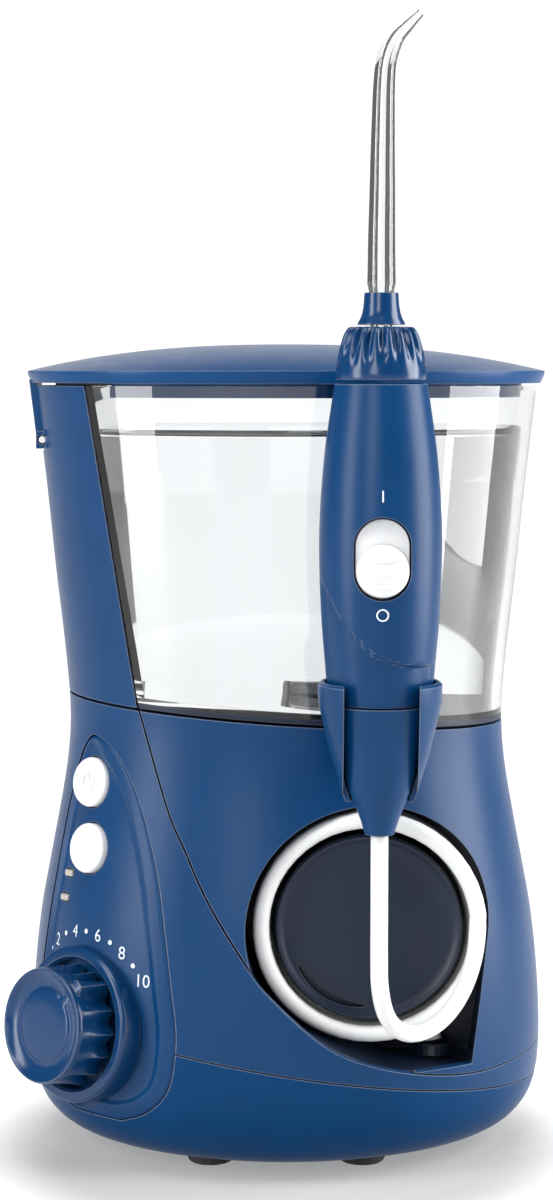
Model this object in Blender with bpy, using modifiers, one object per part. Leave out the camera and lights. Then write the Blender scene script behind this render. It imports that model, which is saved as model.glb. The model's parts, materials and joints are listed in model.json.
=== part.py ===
"""Countertop water flosser: base unit, lift-off reservoir, hinged lid, handle and hose.

Frame: +Z up, the front faces -Y, the origin is at the middle of the footprint on the table.
The base, reservoir and lid share one oval axis; lengths below are in millimetres.
"""
from math import atan, cos, pi, radians, sin, sqrt, tan

import bmesh
import bpy
from mathutils import Matrix, Vector

MM = 0.001
GAP = 0.3                      # clearance between touching pieces

# Body: an oval of revolution about its own upright axis
AXIS = Vector((1.855, 12.75, 0.0))   # where the oval axis stands in the part's frame
DEPTH_RATIO = 0.81             # oval depth over oval width
WALL = 2.4                     # housing wall
SEGMENTS = 36                  # facets round the oval
FLOOR_Z = 2.3                  # underside of the tub
TANK_TOP_Z = 173.7
OUTLINE = (                    # height and half width of the outer skin
    (2.3, 43.0), (4.2, 49.5), (7.5, 54.3), (13.0, 57.6), (22.0, 58.9), (37.0, 58.5),
    (53.0, 56.8), (65.0, 54.6), (77.0, 52.3), (87.0, 50.6), (96.0, 49.8), (104.0, 50.0),
    (117.0, 51.2), (131.0, 52.8), (151.0, 54.8), (176.0, 57.6),
)
PARTING_Z, PARTING_TILT = 25.0, atan(0.16)    # tub to housing, falling to the right
SEAM_Z, SEAM_TILT = 100.5, atan(0.065)         # housing to reservoir, falling to the right
COLUMN_X, COLUMN_TILT = -38.0, atan(0.16)     # wall between reservoir and side column at z 137

# Wave seam between the left housing with its sash and the front housing (x, z)
WAVE = (
    (-33.0, 104.0), (-26.4, 82.0), (-22.4, 73.0), (-17.2, 62.0), (-9.0, 49.0),
    (-3.5, 42.0), (9.0, 31.0), (22.0, 25.6), (38.0, 22.4), (50.0, 22.4), (62.0, 24.0),
)

# Hose bay, a deep round pocket in the front with a straight side down to its floor
BAY_X, BAY_Z, BAY_R = 18.0, 55.7, 27.0
BAY_FLOOR_Z = 24.5
BAY_CORNER_X = 41.0
BAY_BACK_Y = -20.0
SPOOL_R, SPOOL_FRONT_Y = 20.5, -38.5
HOSE_R = 1.85
COIL_R = 23.9                  # middle of the hose in the coil
COIL_TURNS, COIL_PITCH = 5, 3.95
COIL_FRONT_Y = -42.0
HOSE_EXIT = Vector((33.0, -25.0, BAY_FLOOR_Z))

# Control panel on the left shoulder, seen square on along PANEL_OUT
PANEL_OUT = Vector((-sin(radians(45)), -cos(radians(45)), 0.0))
PANEL_RIGHT = Vector((cos(radians(45)), -sin(radians(45)), 0.0))
PANEL_U, PANEL_Z = -9.6, 32.0  # middle of the arch at the knob's height
KNOB_U = -12.0                 # knob axis, a little left of the arch's middle
PANEL_LEAN = -0.094            # the arch leans left as it rises
PANEL_SUNK = 1.2
PANEL_HALF_WIDTHS = (
    (12.0, 7.0), (15.0, 14.5), (21.0, 19.6), (32.0, 20.9), (44.0, 18.4), (54.0, 16.3),
    (64.0, 14.6), (72.0, 13.2), (80.0, 11.2), (87.0, 8.4), (93.0, 4.6),
)
KNOB_TILT = radians(8)
KNOB_R, KNOB_FRONT, KNOB_BACK = 12.7, 12.2, 1.9
COLLAR_R, COLLAR_INNER_R, COLLAR_HEIGHT = 17.2, 14.4, 3.4
BUTTON_TILT = radians(10)
BUTTON_R, BUTTON_PROUD, BUTTON_DEPTH = 5.6, 1.9, 7.0
BUTTONS = {"power_button": (-7.0, 85.0), "mode_button": (-5.0, 70.6)}
INDICATORS = {"indicator_floss": (-12.3, 64.0), "indicator_massage": (-12.8, 58.5)}
INDICATOR_W, INDICATOR_H = 2.6, 1.5

# Handle, standing in the cradle in front of the body
HANDLE = Vector((19.4, -59.2, 0.0))
HANDLE_END_Z = 80.3             # where the hose enters the cone
HANDLE_OUTLINE = (             # height and radius, from the top down
    (174.5, 9.6), (170.0, 10.3), (160.0, 11.7), (148.0, 12.6), (138.0, 12.75),
    (126.0, 12.3), (116.0, 11.5), (108.0, 10.85),
)
HANDLE_WALL = 1.8
CONE_OUTLINE = ((107.7, 10.8), (98.0, 8.7), (90.0, 6.6), (84.0, 4.3), (80.3, 3.1))
SWITCH_LOW_Z, SWITCH_HIGH_Z = 130.3, 147.3
SWITCH_SLOT_R, SWITCH_R = 5.85, 5.4
SWITCH_OFF_Z = 136.4
TIP_KNOB_OUTLINE = ((186.0, 7.4), (183.0, 8.2), (178.0, 9.3), (175.0, 9.4))
TIP_BORE_R = 2.7
NOZZLE_COLLAR_OUTLINE = ((193.0, 3.5), (190.0, 3.7), (188.0, 4.2), (186.4, 5.0))
NOZZLE_R = 2.9

# Cradle arms on the front housing
CRADLE_TOP_Z, CRADLE_BOTTOM_Z = 112.5, 87.0

# Lid and its hinge at the left end
LID_HALF_WIDTH = 59.0
LID_CREST_Z, LID_RIM_Z, LID_UNDER_Z = 183.0, 177.0, 174.2
HINGE_X, HINGE_Z = -55.0, 161.5
HINGE_PIN_R, HINGE_BARREL_R = 0.8, 1.7
STRAP_LEAN = radians(6.8)      # the strap follows the column's skin
STRAP_HALF_WIDTH, EAR_Y = 7.0, 9.3
SKIRT_END_X, SKIRT_LOW_Z = -38.0, 171.2   # the skirt stops here, to swing out of the tank

# Drive train in the base
MOTOR_Y, MOTOR_Z, MOTOR_R = 12.0, 25.5, 12.5
PINION_TEETH, CRANK_TEETH = 12, 42
PINION_R, CRANK_R = 4.2, 14.0
CRANK_Z = MOTOR_Z + PINION_R + CRANK_R + 0.4
CRANK_THROW = 4.0
PLATE_X = -3.4                 # middle of the frame's upright plate
PUMP_X = -14.0
VALVE_X, VALVE_Y = 5.0, 18.0   # reservoir outlet

COLORS = {                     # base colour, roughness, metallic, alpha
    "navy": ((0.012, 0.045, 0.155), 0.42, 0.0, 1.0),
    "navy_gloss": ((0.012, 0.050, 0.170), 0.18, 0.0, 1.0),
    "dark_navy": ((0.006, 0.018, 0.050), 0.45, 0.0, 1.0),
    "lid_blue": ((0.020, 0.075, 0.230), 0.38, 0.0, 1.0),
    "clear": ((0.88, 0.91, 0.94), 0.05, 0.0, 0.25),
    "white": ((0.82, 0.83, 0.84), 0.30, 0.0, 1.0),
    "hose_white": ((0.86, 0.87, 0.86), 0.38, 0.0, 1.0),
    "lamp_grey": ((0.38, 0.36, 0.33), 0.25, 0.0, 1.0),
    "rubber": ((0.03, 0.03, 0.032), 0.80, 0.0, 1.0),
    "steel": ((0.55, 0.56, 0.58), 0.30, 1.0, 1.0),
    "inner_grey": ((0.30, 0.31, 0.33), 0.50, 0.0, 1.0),
    "board_green": ((0.02, 0.16, 0.07), 0.50, 0.0, 1.0),
    "brass": ((0.66, 0.47, 0.20), 0.30, 1.0, 1.0),
}


# ---------------------------------------------------------------- scene and helpers
def clear_scene():
    for existing in list(bpy.data.objects):
        bpy.data.objects.remove(existing, do_unlink=True)


def new_collection(name):
    collection = bpy.data.collections.new(name)
    bpy.context.scene.collection.children.link(collection)
    return collection


def make_materials():
    materials = {}
    for name, (color, roughness, metallic, alpha) in COLORS.items():
        material = bpy.data.materials.new(name)
        material.use_nodes = True
        shader = material.node_tree.nodes["Principled BSDF"]
        shader.inputs["Base Color"].default_value = (*color, 1.0)
        shader.inputs["Roughness"].default_value = roughness
        shader.inputs["Metallic"].default_value = metallic
        shader.inputs["Alpha"].default_value = alpha
        materials[name] = material
    return materials


def register(obj, material=None):
    """Link a piece, or a cutter when it has no material."""
    if material is None:
        CUTTERS.objects.link(obj)
        obj.hide_render = True
        obj.display_type = "WIRE"
    else:
        PARTS.objects.link(obj)
        obj.data.materials.append(MATERIALS[material])
    return obj


def place(obj, origin, rotation=None):
    """Put an object at a place given in millimetres from the oval axis."""
    matrix = Matrix.Translation((Vector(origin) + AXIS) * MM)
    obj.matrix_world = matrix @ rotation if rotation else matrix
    return obj


def aim(direction, up=Vector((0.0, 0.0, 1.0))):
    """Rotation whose Z axis points along a direction and whose X axis lies level."""
    z = direction.normalized()
    x = up.cross(z).normalized()
    y = z.cross(x)
    return Matrix((x, y, z)).transposed().to_4x4()


def smooth_sides(mesh):
    mesh.shade_smooth()
    mesh.set_sharp_from_angle(angle=radians(32))


def turned(name, profile, material=None, segments=SEGMENTS, squash=1.0, closed=False):
    """Turn (radius, height) points, listed down the outer side, about Z."""
    mesh = bpy.data.meshes.new(name)
    points = [(r * MM, 0.0, z * MM) for r, z in profile]
    edges = [(i, i + 1) for i in range(len(points) - 1)]
    if closed:
        edges.append((len(points) - 1, 0))
    mesh.from_pydata(points, edges, [])
    obj = bpy.data.objects.new(name, mesh)
    screw = obj.modifiers.new("Turn", "SCREW")
    screw.steps = segments
    screw.render_steps = segments
    screw.use_merge_vertices = True
    screw.merge_threshold = 0.00001
    register(obj, material)
    obj.scale = (1.0, squash, 1.0)
    return bake(obj)


def bake(obj):
    """Replace an object's mesh with its evaluated one, with its scale applied."""
    bpy.context.view_layer.update()
    evaluated = obj.evaluated_get(bpy.context.evaluated_depsgraph_get())
    mesh = bpy.data.meshes.new_from_object(evaluated)
    mesh.transform(Matrix.Diagonal((*obj.scale, 1.0)))
    if obj.type == "CURVE":
        mesh_obj = bpy.data.objects.new(obj.name + "_mesh", mesh)
        name, users = obj.name, list(obj.users_collection)
        mesh_obj.matrix_world = obj.matrix_world
        mesh_obj.hide_render, mesh_obj.display_type = obj.hide_render, obj.display_type
        bpy.data.objects.remove(obj, do_unlink=True)
        mesh_obj.name = name
        for collection in users:
            collection.objects.link(mesh_obj)
        weld_mesh(mesh)
        return mesh_obj
    obj.modifiers.clear()
    obj.data = mesh
    obj.scale = (1.0, 1.0, 1.0)
    smooth_sides(mesh)
    return obj


def weld_mesh(mesh):
    work = bmesh.new()
    work.from_mesh(mesh)
    bmesh.ops.remove_doubles(work, verts=work.verts, dist=0.00001)
    bmesh.ops.recalc_face_normals(work, faces=work.faces)
    work.to_mesh(mesh)
    work.free()
    smooth_sides(mesh)


def block(name, size, material=None):
    """A box of the given sides, centred on its own origin."""
    work = bmesh.new()
    bmesh.ops.create_cube(work, size=1.0)
    bmesh.ops.scale(work, vec=Vector(size) * MM, verts=work.verts)
    mesh = bpy.data.meshes.new(name)
    work.to_mesh(mesh)
    work.free()
    return register(bpy.data.objects.new(name, mesh), material)


def rod(name, radius, low, high, material=None, segments=32):
    """A cylinder along Z from one height to another."""
    return turned(name, ((0, high), (radius, high), (radius, low), (0, low)), material, segments)


def outline_prism(name, points, low, high, material=None):
    """A closed flat outline in its own XY, raised from one height to another."""
    curve = bpy.data.curves.new(name, "CURVE")
    curve.dimensions = "2D"
    curve.fill_mode = "BOTH"
    curve.extrude = (high - low) / 2 * MM
    spline = curve.splines.new("POLY")
    spline.points.add(len(points) - 1)
    for point, (x, y) in zip(spline.points, points):
        point.co = (x * MM, y * MM, 0.0, 1.0)
    spline.use_cyclic_u = True
    obj = register(bpy.data.objects.new(name, curve), material)
    obj = bake(obj)
    obj.data.transform(Matrix.Translation((0, 0, (low + high) / 2 * MM)))
    return obj


def tube(name, route, radius, material, steps=2, end_radius=None):
    """A round tube along a smooth curve through its route's points."""
    points = smooth_route(route, steps)
    curve = bpy.data.curves.new(name, "CURVE")
    curve.dimensions = "3D"
    curve.bevel_depth = radius * MM
    curve.bevel_resolution = 2
    curve.use_fill_caps = True
    spline = curve.splines.new("POLY")
    spline.points.add(len(points) - 1)
    for index, (point, place_at) in enumerate(zip(spline.points, points)):
        point.co = (*(place_at * MM), 1.0)
        share = index / (len(points) - 1)
        point.radius = 1.0 if end_radius is None else 1.0 + share * (end_radius / radius - 1.0)
    return bake(register(bpy.data.objects.new(name, curve), material))


def smooth_route(route, steps):
    """Catmull-Rom points through a route, its ends included."""
    knots = [Vector(point) for point in route]
    padded = [2 * knots[0] - knots[1], *knots, 2 * knots[-1] - knots[-2]]
    points = []
    for before, start, end, after in zip(padded, padded[1:], padded[2:], padded[3:]):
        for step in range(steps):
            t = step / steps
            points.append(0.5 * (2 * start + t * (end - before)
                          + t * t * (2 * before - 5 * start + 4 * end - after)
                          + t ** 3 * (3 * start - before - 3 * end + after)))
    return points + [knots[-1]]


def boolean(target, cutter, operation="DIFFERENCE"):
    modifier = target.modifiers.new(operation.title(), "BOOLEAN")
    modifier.operation = operation
    modifier.object = cutter
    modifier.solver = "EXACT"
    return target


def join_pieces(target, *others):
    """Unite helper solids with a piece, then drop the helpers."""
    for other in others:
        boolean(target, other, "UNION")
    bake(target)
    for other in others:
        bpy.data.objects.remove(other, do_unlink=True)
    return target


# ---------------------------------------------------------------- the oval body
def half_width(z):
    """Half width of the outer skin, a smooth curve through OUTLINE."""
    knots = OUTLINE
    z = min(max(z, knots[0][0]), knots[-1][0])
    index = next(i for i in range(len(knots) - 1) if z <= knots[i + 1][0])
    (z0, w0), (z1, w1) = knots[index], knots[index + 1]
    before, after = knots[max(index - 1, 0)], knots[min(index + 2, len(knots) - 1)]
    slope0 = (w1 - before[1]) / (z1 - before[0])
    slope1 = (after[1] - w0) / (after[0] - z0)
    span = z1 - z0
    t = (z - z0) / span
    return ((2 * t ** 3 - 3 * t ** 2 + 1) * w0 + (t ** 3 - 2 * t ** 2 + t) * span * slope0
            + (3 * t ** 2 - 2 * t ** 3) * w1 + (t ** 3 - t ** 2) * span * slope1)


def skin_heights(low, high):
    """Ring heights: close together where the tub curves in, wider above."""
    rings = [2.3, 3.4, 5.0, 8.0, 12.5, 19.0, 27.0] + [37.0 + 12.0 * i for i in range(13)]
    return [high] + [z for z in reversed(rings) if low + 0.5 < z < high - 0.5] + [low]


def oval_solid(name, inset, low, high, material=None):
    """A solid of the body's own oval shape, drawn in by an inset."""
    sides = [(half_width(z) - inset, z) for z in skin_heights(low, high)]
    profile = [(0.0, high), *sides, (0.0, low)]
    return place(turned(name, profile, material, squash=DEPTH_RATIO), (0, 0, 0))


def half_space(name, height, tilt, side):
    """A big block above (side 1) or below (side -1) a plane that falls to the right."""
    obj = block(name, (260.0, 260.0, 200.0))
    obj.data.transform(Matrix.Translation((0, 0, side * 100.0 * MM)))
    return place(obj, (0, 0, height), Matrix.Rotation(tilt, 4, "Y"))


def column_side(name, offset, side):
    """A big block right (side 1) or left (side -1) of the column's leaning wall."""
    obj = block(name, (200.0, 260.0, 320.0))
    obj.data.transform(Matrix.Translation((side * 100.0 * MM, 0, 0)))
    return place(obj, (COLUMN_X + offset, 0, 137.0), Matrix.Rotation(-COLUMN_TILT, 4, "Y"))


def upright(points, name, low_y, high_y, material=None):
    """A prism of an (x, z) outline that runs front to back."""
    obj = outline_prism(name, points, -high_y, -low_y, material)
    return place(obj, (0, 0, 0), Matrix.Rotation(pi / 2, 4, "X"))


def wave_outline(shift):
    edge = [(x + shift, z + shift) for x, z in WAVE]
    return [(-90.0, 104.0 + shift), *edge, (90.0, 24.0 + shift), (90.0, -20.0), (-90.0, -20.0)]


def bay_outline(grow):
    """Round at the top and left, straight down the right side to a level floor."""
    radius = BAY_R + grow
    arc = [(BAY_X + radius * cos(a), BAY_Z + radius * sin(a))
           for a in (radians(-6 + 9 * i) for i in range(27))]
    floor = BAY_FLOOR_Z - grow
    return [*arc, (BAY_X + 4.0, floor), (BAY_CORNER_X + grow, floor)]


def panel_outline(grow):
    """Arched outline of the control panel in its own sideways and up axes."""
    def side(sign):
        return [(PANEL_U + PANEL_LEAN * (z - PANEL_Z) + sign * (half + grow), z)
                for z, half in PANEL_HALF_WIDTHS]
    top = PANEL_HALF_WIDTHS[-1][0] + 2.6 + grow
    apex = (PANEL_U + PANEL_LEAN * (top - PANEL_Z), top)
    return [*side(1), apex, *reversed(side(-1))]


def panel_frame():
    """World rotation whose X is the panel's right, Y is up and Z points outward."""
    up = Vector((0.0, 0.0, 1.0))
    return Matrix((PANEL_RIGHT, up, PANEL_OUT)).transposed().to_4x4()


def skin_point(u, z, inset=0.0):
    """The place on the skin that lies u sideways and z up as the panel is faced."""
    width = half_width(z) - inset
    depth = width * DEPTH_RATIO
    across, out = PANEL_RIGHT * u, PANEL_OUT
    a = (out.x / width) ** 2 + (out.y / depth) ** 2
    b = 2 * (across.x * out.x / width ** 2 + across.y * out.y / depth ** 2)
    c = (across.x / width) ** 2 + (across.y / depth) ** 2 - 1.0
    reach = (-b + sqrt(b * b - 4 * a * c)) / (2 * a)
    return across + out * reach + Vector((0.0, 0.0, z))


def tilted_out(tilt):
    return Vector((PANEL_OUT.x * cos(tilt), PANEL_OUT.y * cos(tilt), sin(tilt)))


# ---------------------------------------------------------------- cutters used more than once
def make_shared_cutters():
    shared = {
        "inside": oval_solid("cut_inside", WALL, FLOOR_Z + WALL, 130.0),
        "core": oval_solid("fit_core", WALL + GAP, FLOOR_Z + WALL + GAP, 130.0),
        "above_seam": half_space("cut_above_seam", SEAM_Z - GAP / 2, SEAM_TILT, 1),
        "below_parting": half_space("cut_below_parting", PARTING_Z + GAP / 2, PARTING_TILT, -1),
        "above_parting": half_space("cut_above_parting", PARTING_Z - GAP / 2, PARTING_TILT, 1),
        "wave": upright(wave_outline(0.0), "cut_wave", -90, 90),
        "wave_wide": upright(wave_outline(GAP), "cut_wave_wide", -90, 90),
    }
    panel_hole = outline_prism("cut_panel_hole", panel_outline(GAP), 20, 90)
    shared["panel_hole"] = place(panel_hole, (0, 0, 0), panel_frame())
    return shared


# ---------------------------------------------------------------- base
def make_tub(cut):
    tub = oval_solid("base_tub", 0.0, FLOOR_Z, 60.0, "navy")
    boolean(tub, cut["inside"])
    boolean(tub, cut["above_parting"])
    boolean(tub, cut["panel_hole"])
    gland_hole = rod("cut_gland_hole", 4.3, 30, 60, segments=20)
    boolean(tub, place(gland_hole, (20, 0, 14), Matrix.Rotation(-pi / 2, 4, "X")))
    for index, (x, y) in enumerate(screw_places(), start=1):
        hole = turned(f"cut_screw_{index}",
                      ((0, 20), (1.7, 20), (1.7, 3.6), (3.1, 3.6), (3.1, 1), (0, 1)), segments=16)
        boolean(tub, place(hole, (x, y, 0)))
    gland = turned("cord_gland", ((4.0, 46.5), (4.0, 36.0), (2.0, 36.0), (2.0, 46.5)),
                   "rubber", 20, closed=True)
    place(gland, (20, 0, 14), Matrix.Rotation(-pi / 2, 4, "X"))
    return tub


def screw_places():
    return [(x, y) for x in (-30.0, 30.0) for y in (-8.0, 22.0)]


def foot_places():
    return [(x, y) for x in (-17.0, 17.0) for y in (-25.0, 25.0)]


def make_feet_and_screws():
    for index, (x, y) in enumerate(foot_places(), start=1):
        foot = turned(f"foot_{index}", ((0, 2.0), (5.2, 2.0), (5.2, 0.5), (4.7, 0), (0, 0)),
                      "rubber", 16)
        place(foot, (x, y, 0))
    for index, (x, y) in enumerate(screw_places(), start=1):
        screw = turned(f"case_screw_{index}",
                       ((0, 12), (1.3, 12), (1.3, 3.4), (2.7, 3.2), (2.7, 2.5), (0, 2.5)),
                       "steel", 10)
        place(screw, (x, y, 0))


def make_left_housing(cut):
    housing = oval_solid("left_housing", 0.0, 8.0, 112.0, "navy")
    for name in ("inside", "below_parting", "above_seam", "panel_hole"):
        boolean(housing, cut[name])
    boolean(housing, cut["wave"], "INTERSECT")


def make_front_housing(cut):
    housing = oval_solid("front_housing", 0.0, 15.0, 112.0, "navy")
    for name in ("inside", "below_parting", "above_seam", "wave_wide"):
        boolean(housing, cut[name])
    boolean(housing, upright(bay_outline(0.0), "cut_bay_mouth", -70, -8))
    bake(housing)
    join_pieces(housing, make_cradle())
    return housing


def make_cradle():
    """Two arms that hold the handle's cone, on a web from the housing."""
    outer = [(CRADLE_TOP_Z, 13.1), (108.0, 12.9), (98.0, 10.6), (CRADLE_BOTTOM_Z, 7.3)]
    inner = [(z, handle_radius(z) + 0.6) for z in (CRADLE_BOTTOM_Z, 98.0, 107.7, CRADLE_TOP_Z)]
    profile = [(r, z) for z, r in outer] + [(r, z) for z, r in inner]
    cup = place(turned("cradle_cup", profile, "navy", 32, closed=True), HANDLE)
    slot = place(block("cut_cradle_front", (15.5, 20.0, 60.0)), HANDLE + Vector((0, -10.2, 100)))
    boolean(cup, slot)
    bake(cup)
    web = place(block("cradle_web", (9.0, 17.0, 24.0), "navy"), HANDLE + Vector((0, 13.4, 100.2)))
    bore = [(r, z) for z, r in reversed(inner)]
    hollow = turned("cut_cradle_bore", [(0, CRADLE_TOP_Z + 1), (12.1, CRADLE_TOP_Z + 1), *bore,
                                        (5.0, 80.0), (0, 80.0)], segments=32)
    boolean(web, place(hollow, HANDLE))
    boolean(web, bpy.data.objects["cut_inside"])
    boolean(web, oval_solid("cut_web_back", -0.8, SEAM_Z - 1.8, 125.0))
    bake(web)
    return join_pieces(cup, web)


def handle_radius(z):
    outline = HANDLE_OUTLINE + CONE_OUTLINE
    for (high, r_high), (low, r_low) in zip(outline, outline[1:]):
        if low <= z <= high:
            return r_low + (r_high - r_low) * (z - low) / (high - low)
    return outline[-1][1]


def make_deck():
    deck = oval_solid("base_deck", WALL + GAP, 85.0, 112.0, "dark_navy")
    boolean(deck, half_space("cut_above_deck", SEAM_Z - 1.0, SEAM_TILT, 1))
    boolean(deck, half_space("cut_below_deck", SEAM_Z - 3.2, SEAM_TILT, -1))
    hole = rod("cut_deck_hole", 4.4, 80, 120, segments=24)
    boolean(deck, place(hole, (VALVE_X, VALVE_Y, 0)))
    seal = turned("outlet_seal", ((7.5, 0.35), (7.5, -0.35), (4.6, -0.35), (4.6, 0.35)),
                  "rubber", 24, closed=True)
    seal_z = SEAM_Z - VALVE_X * tan(SEAM_TILT) - 0.32
    place(seal, (VALVE_X, VALVE_Y, seal_z), Matrix.Rotation(SEAM_TILT, 4, "Y"))


def make_bay(cut):
    bay = upright(bay_outline(1.7), "hose_bay", -60, BAY_BACK_Y + 1.8, "dark_navy")
    boolean(bay, upright(bay_outline(0.1), "cut_bay_hollow", -70, BAY_BACK_Y))
    boolean(bay, cut["core"], "INTERSECT")
    feed_hole = rod("cut_feed_hole", 2.6, 10, 30, segments=16)
    boolean(bay, place(feed_hole, (HOSE_EXIT.x, HOSE_EXIT.y, 0)))
    front = -SPOOL_FRONT_Y
    back = -(BAY_BACK_Y - GAP)
    spool = turned("hose_spool",
                   ((0, front - 1.2), (SPOOL_R - 1.4, front - 1.2), (SPOOL_R - 0.8, front),
                    (SPOOL_R, front - 0.6), (SPOOL_R, front - 3), (SPOOL_R - 0.8, front - 4),
                    (SPOOL_R - 0.8, back), (0, back)), "dark_navy", 32)
    place(spool, (BAY_X, 0, BAY_Z), Matrix.Rotation(pi / 2, 4, "X"))
    gland = turned("hose_gland", ((4.0, 2.6), (4.6, GAP), (2.2, GAP), (2.2, 2.6)),
                   "dark_navy", 20, closed=True)
    place(gland, HOSE_EXIT)


# ---------------------------------------------------------------- control panel
def make_panel(cut):
    panel = oval_solid("control_panel", PANEL_SUNK, 8.0, 100.0, "navy")
    boolean(panel, oval_solid("cut_panel_back", PANEL_SUNK + 2.2, 5.0, 104.0))
    outline = outline_prism("fit_panel", panel_outline(0.0), 20, 90)
    boolean(panel, place(outline, (0, 0, 0), panel_frame()), "INTERSECT")
    for name, (u, z) in BUTTONS.items():
        hole = rod(f"cut_{name}", BUTTON_R + GAP, -12, 12, segments=28)
        boolean(panel, place(hole, panel_spot(u, z), aim(tilted_out(BUTTON_TILT))))
        button = turned(name, ((0, BUTTON_PROUD), (BUTTON_R - 1.1, BUTTON_PROUD),
                               (BUTTON_R, BUTTON_PROUD - 0.9),
                               (BUTTON_R, BUTTON_PROUD - BUTTON_DEPTH),
                               (0, BUTTON_PROUD - BUTTON_DEPTH)), "white", 28)
        place(button, panel_spot(u, z), aim(tilted_out(BUTTON_TILT)))
    for name, (u, z) in INDICATORS.items():
        hole = block(f"cut_{name}", (INDICATOR_W + 0.6, INDICATOR_H + 0.6, 12.0))
        boolean(panel, place(hole, panel_spot(u, z), panel_frame()))
        window = block(name, (INDICATOR_W, INDICATOR_H, 2.6), "lamp_grey")
        place(window, panel_spot(u, z) - PANEL_OUT * 0.9, panel_frame())
    stem_hole = rod("cut_stem_hole", 3.6, -12, 12, segments=20)
    boolean(panel, place(stem_hole, knob_foot(), aim(tilted_out(KNOB_TILT))))


def panel_spot(u, z):
    return skin_point(PANEL_U + u, z, PANEL_SUNK)


def knob_foot():
    return skin_point(KNOB_U, PANEL_Z, PANEL_SUNK)


def make_knob():
    facing = aim(tilted_out(KNOB_TILT))
    collar = turned("knob_collar", ((COLLAR_R - 0.8, COLLAR_HEIGHT), (COLLAR_R, COLLAR_HEIGHT - 1),
                                    (COLLAR_R, -7), (COLLAR_INNER_R, -7),
                                    (COLLAR_INNER_R, COLLAR_HEIGHT)), "navy_gloss", 40, closed=True)
    place(collar, knob_foot(), facing)
    boolean(collar, oval_solid("cut_collar_back", PANEL_SUNK - GAP, 4.0, 80.0))
    knob = turned("pressure_knob",
                  ((0, KNOB_FRONT - 1.3), (KNOB_R - 3.4, KNOB_FRONT - 1.0), (KNOB_R - 2, KNOB_FRONT),
                   (KNOB_R - 0.6, KNOB_FRONT), (KNOB_R, KNOB_FRONT - 1.0),
                   (KNOB_R + 0.8, KNOB_BACK + 1.5), (KNOB_R + 0.8, KNOB_BACK), (3.0, KNOB_BACK),
                   (3.0, -11.5), (0, -11.5)), "navy_gloss", 36)
    place(knob, knob_foot(), facing)
    valve = rod("pressure_valve", 8.0, -25.0, -11.9, "inner_grey", 24)
    place(valve, knob_foot(), facing)
    board = block("circuit_board", (24.0, 32.0, 1.6), "board_green")
    place(board, skin_point(PANEL_U, 76.0, 13.0), panel_frame())


# ---------------------------------------------------------------- drive train
def make_drive():
    sideways = Matrix.Rotation(-pi / 2, 4, "Y")
    frame = place(block("pump_frame", (66.0, 42.0, 2.0), "inner_grey"), (0, 8, 7.5))
    plate = place(block("pump_frame_plate", (2.0, 24.0, 70.0), "inner_grey"), (PLATE_X, 12, 43))
    join_pieces(frame, plate)
    for index, (x, y) in enumerate(screw_places(), start=1):
        hole = rod(f"cut_frame_screw_{index}", 1.7, 3, 13, segments=16)
        boolean(frame, place(hole, (x, y, 0)))
    for name, z in (("motor", MOTOR_Z), ("crank", CRANK_Z)):
        hole = rod(f"cut_{name}_shaft", 2.4, -10, 10, segments=16)
        boolean(frame, place(hole, (PLATE_X, MOTOR_Y, z), sideways))
    motor = turned("motor", ((0, -2.0), (4.5, -2.0), (4.5, -3.5), (MOTOR_R, -3.5),
                             (MOTOR_R, -36), (3.5, -36), (3.5, -38), (0, -38)), "steel", 32)
    place(motor, (PLATE_X + 1.3 - 1.9, MOTOR_Y, MOTOR_Z), sideways)
    make_gear("motor_pinion", PINION_TEETH, PINION_R, 1.6, 6.6, "brass", (PLATE_X, MOTOR_Y, MOTOR_Z))
    gear = make_gear("crank_gear", CRANK_TEETH, CRANK_R, 1.6, 5.2, "white",
                     (PLATE_X, MOTOR_Y, CRANK_Z))
    pin = rod("crank_pin", 1.5, 4.0, 8.0, "white", 16)
    place(pin, (PLATE_X, MOTOR_Y, CRANK_Z - CRANK_THROW), sideways)
    join_pieces(gear, pin)
    pump = turned("pump_body", ((0, 88), (4, 88), (4, 85), (8, 85), (8, 64), (5.5, 64),
                                (5.5, 82.5), (0, 82.5)), "inner_grey", 32)
    place(pump, (PUMP_X, MOTOR_Y, 0))
    piston = turned("pump_piston", ((0, 72), (5.0, 72), (5.0, 66), (1.8, 66), (1.8, 48), (0, 48)),
                    "white", 24)
    place(piston, (PUMP_X, MOTOR_Y, 0))
    fork = place(block("piston_rod", (1.6, 5.0, 16.0), "white"),
                 (PUMP_X + 0.7, MOTOR_Y, CRANK_Z - CRANK_THROW + 3.2))
    join_pieces(piston, fork)


def make_gear(name, teeth, radius, low, high, material, centre):
    """A toothed wheel with a stub shaft through the frame's plate."""
    root = radius - 0.9
    points = []
    for tooth in range(teeth):
        for share, reach in ((0.0, root), (0.5, radius)):
            angle = 2 * pi * (tooth + share) / teeth
            points.append((reach * cos(angle), reach * sin(angle)))
    sideways = Matrix.Rotation(-pi / 2, 4, "Y")
    wheel = place(outline_prism(name, points, low, high, material), centre, sideways)
    shaft = place(rod(f"{name}_shaft", 1.9, -1.0, high - 0.5, material, 16), centre, sideways)
    return join_pieces(wheel, shaft)


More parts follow.
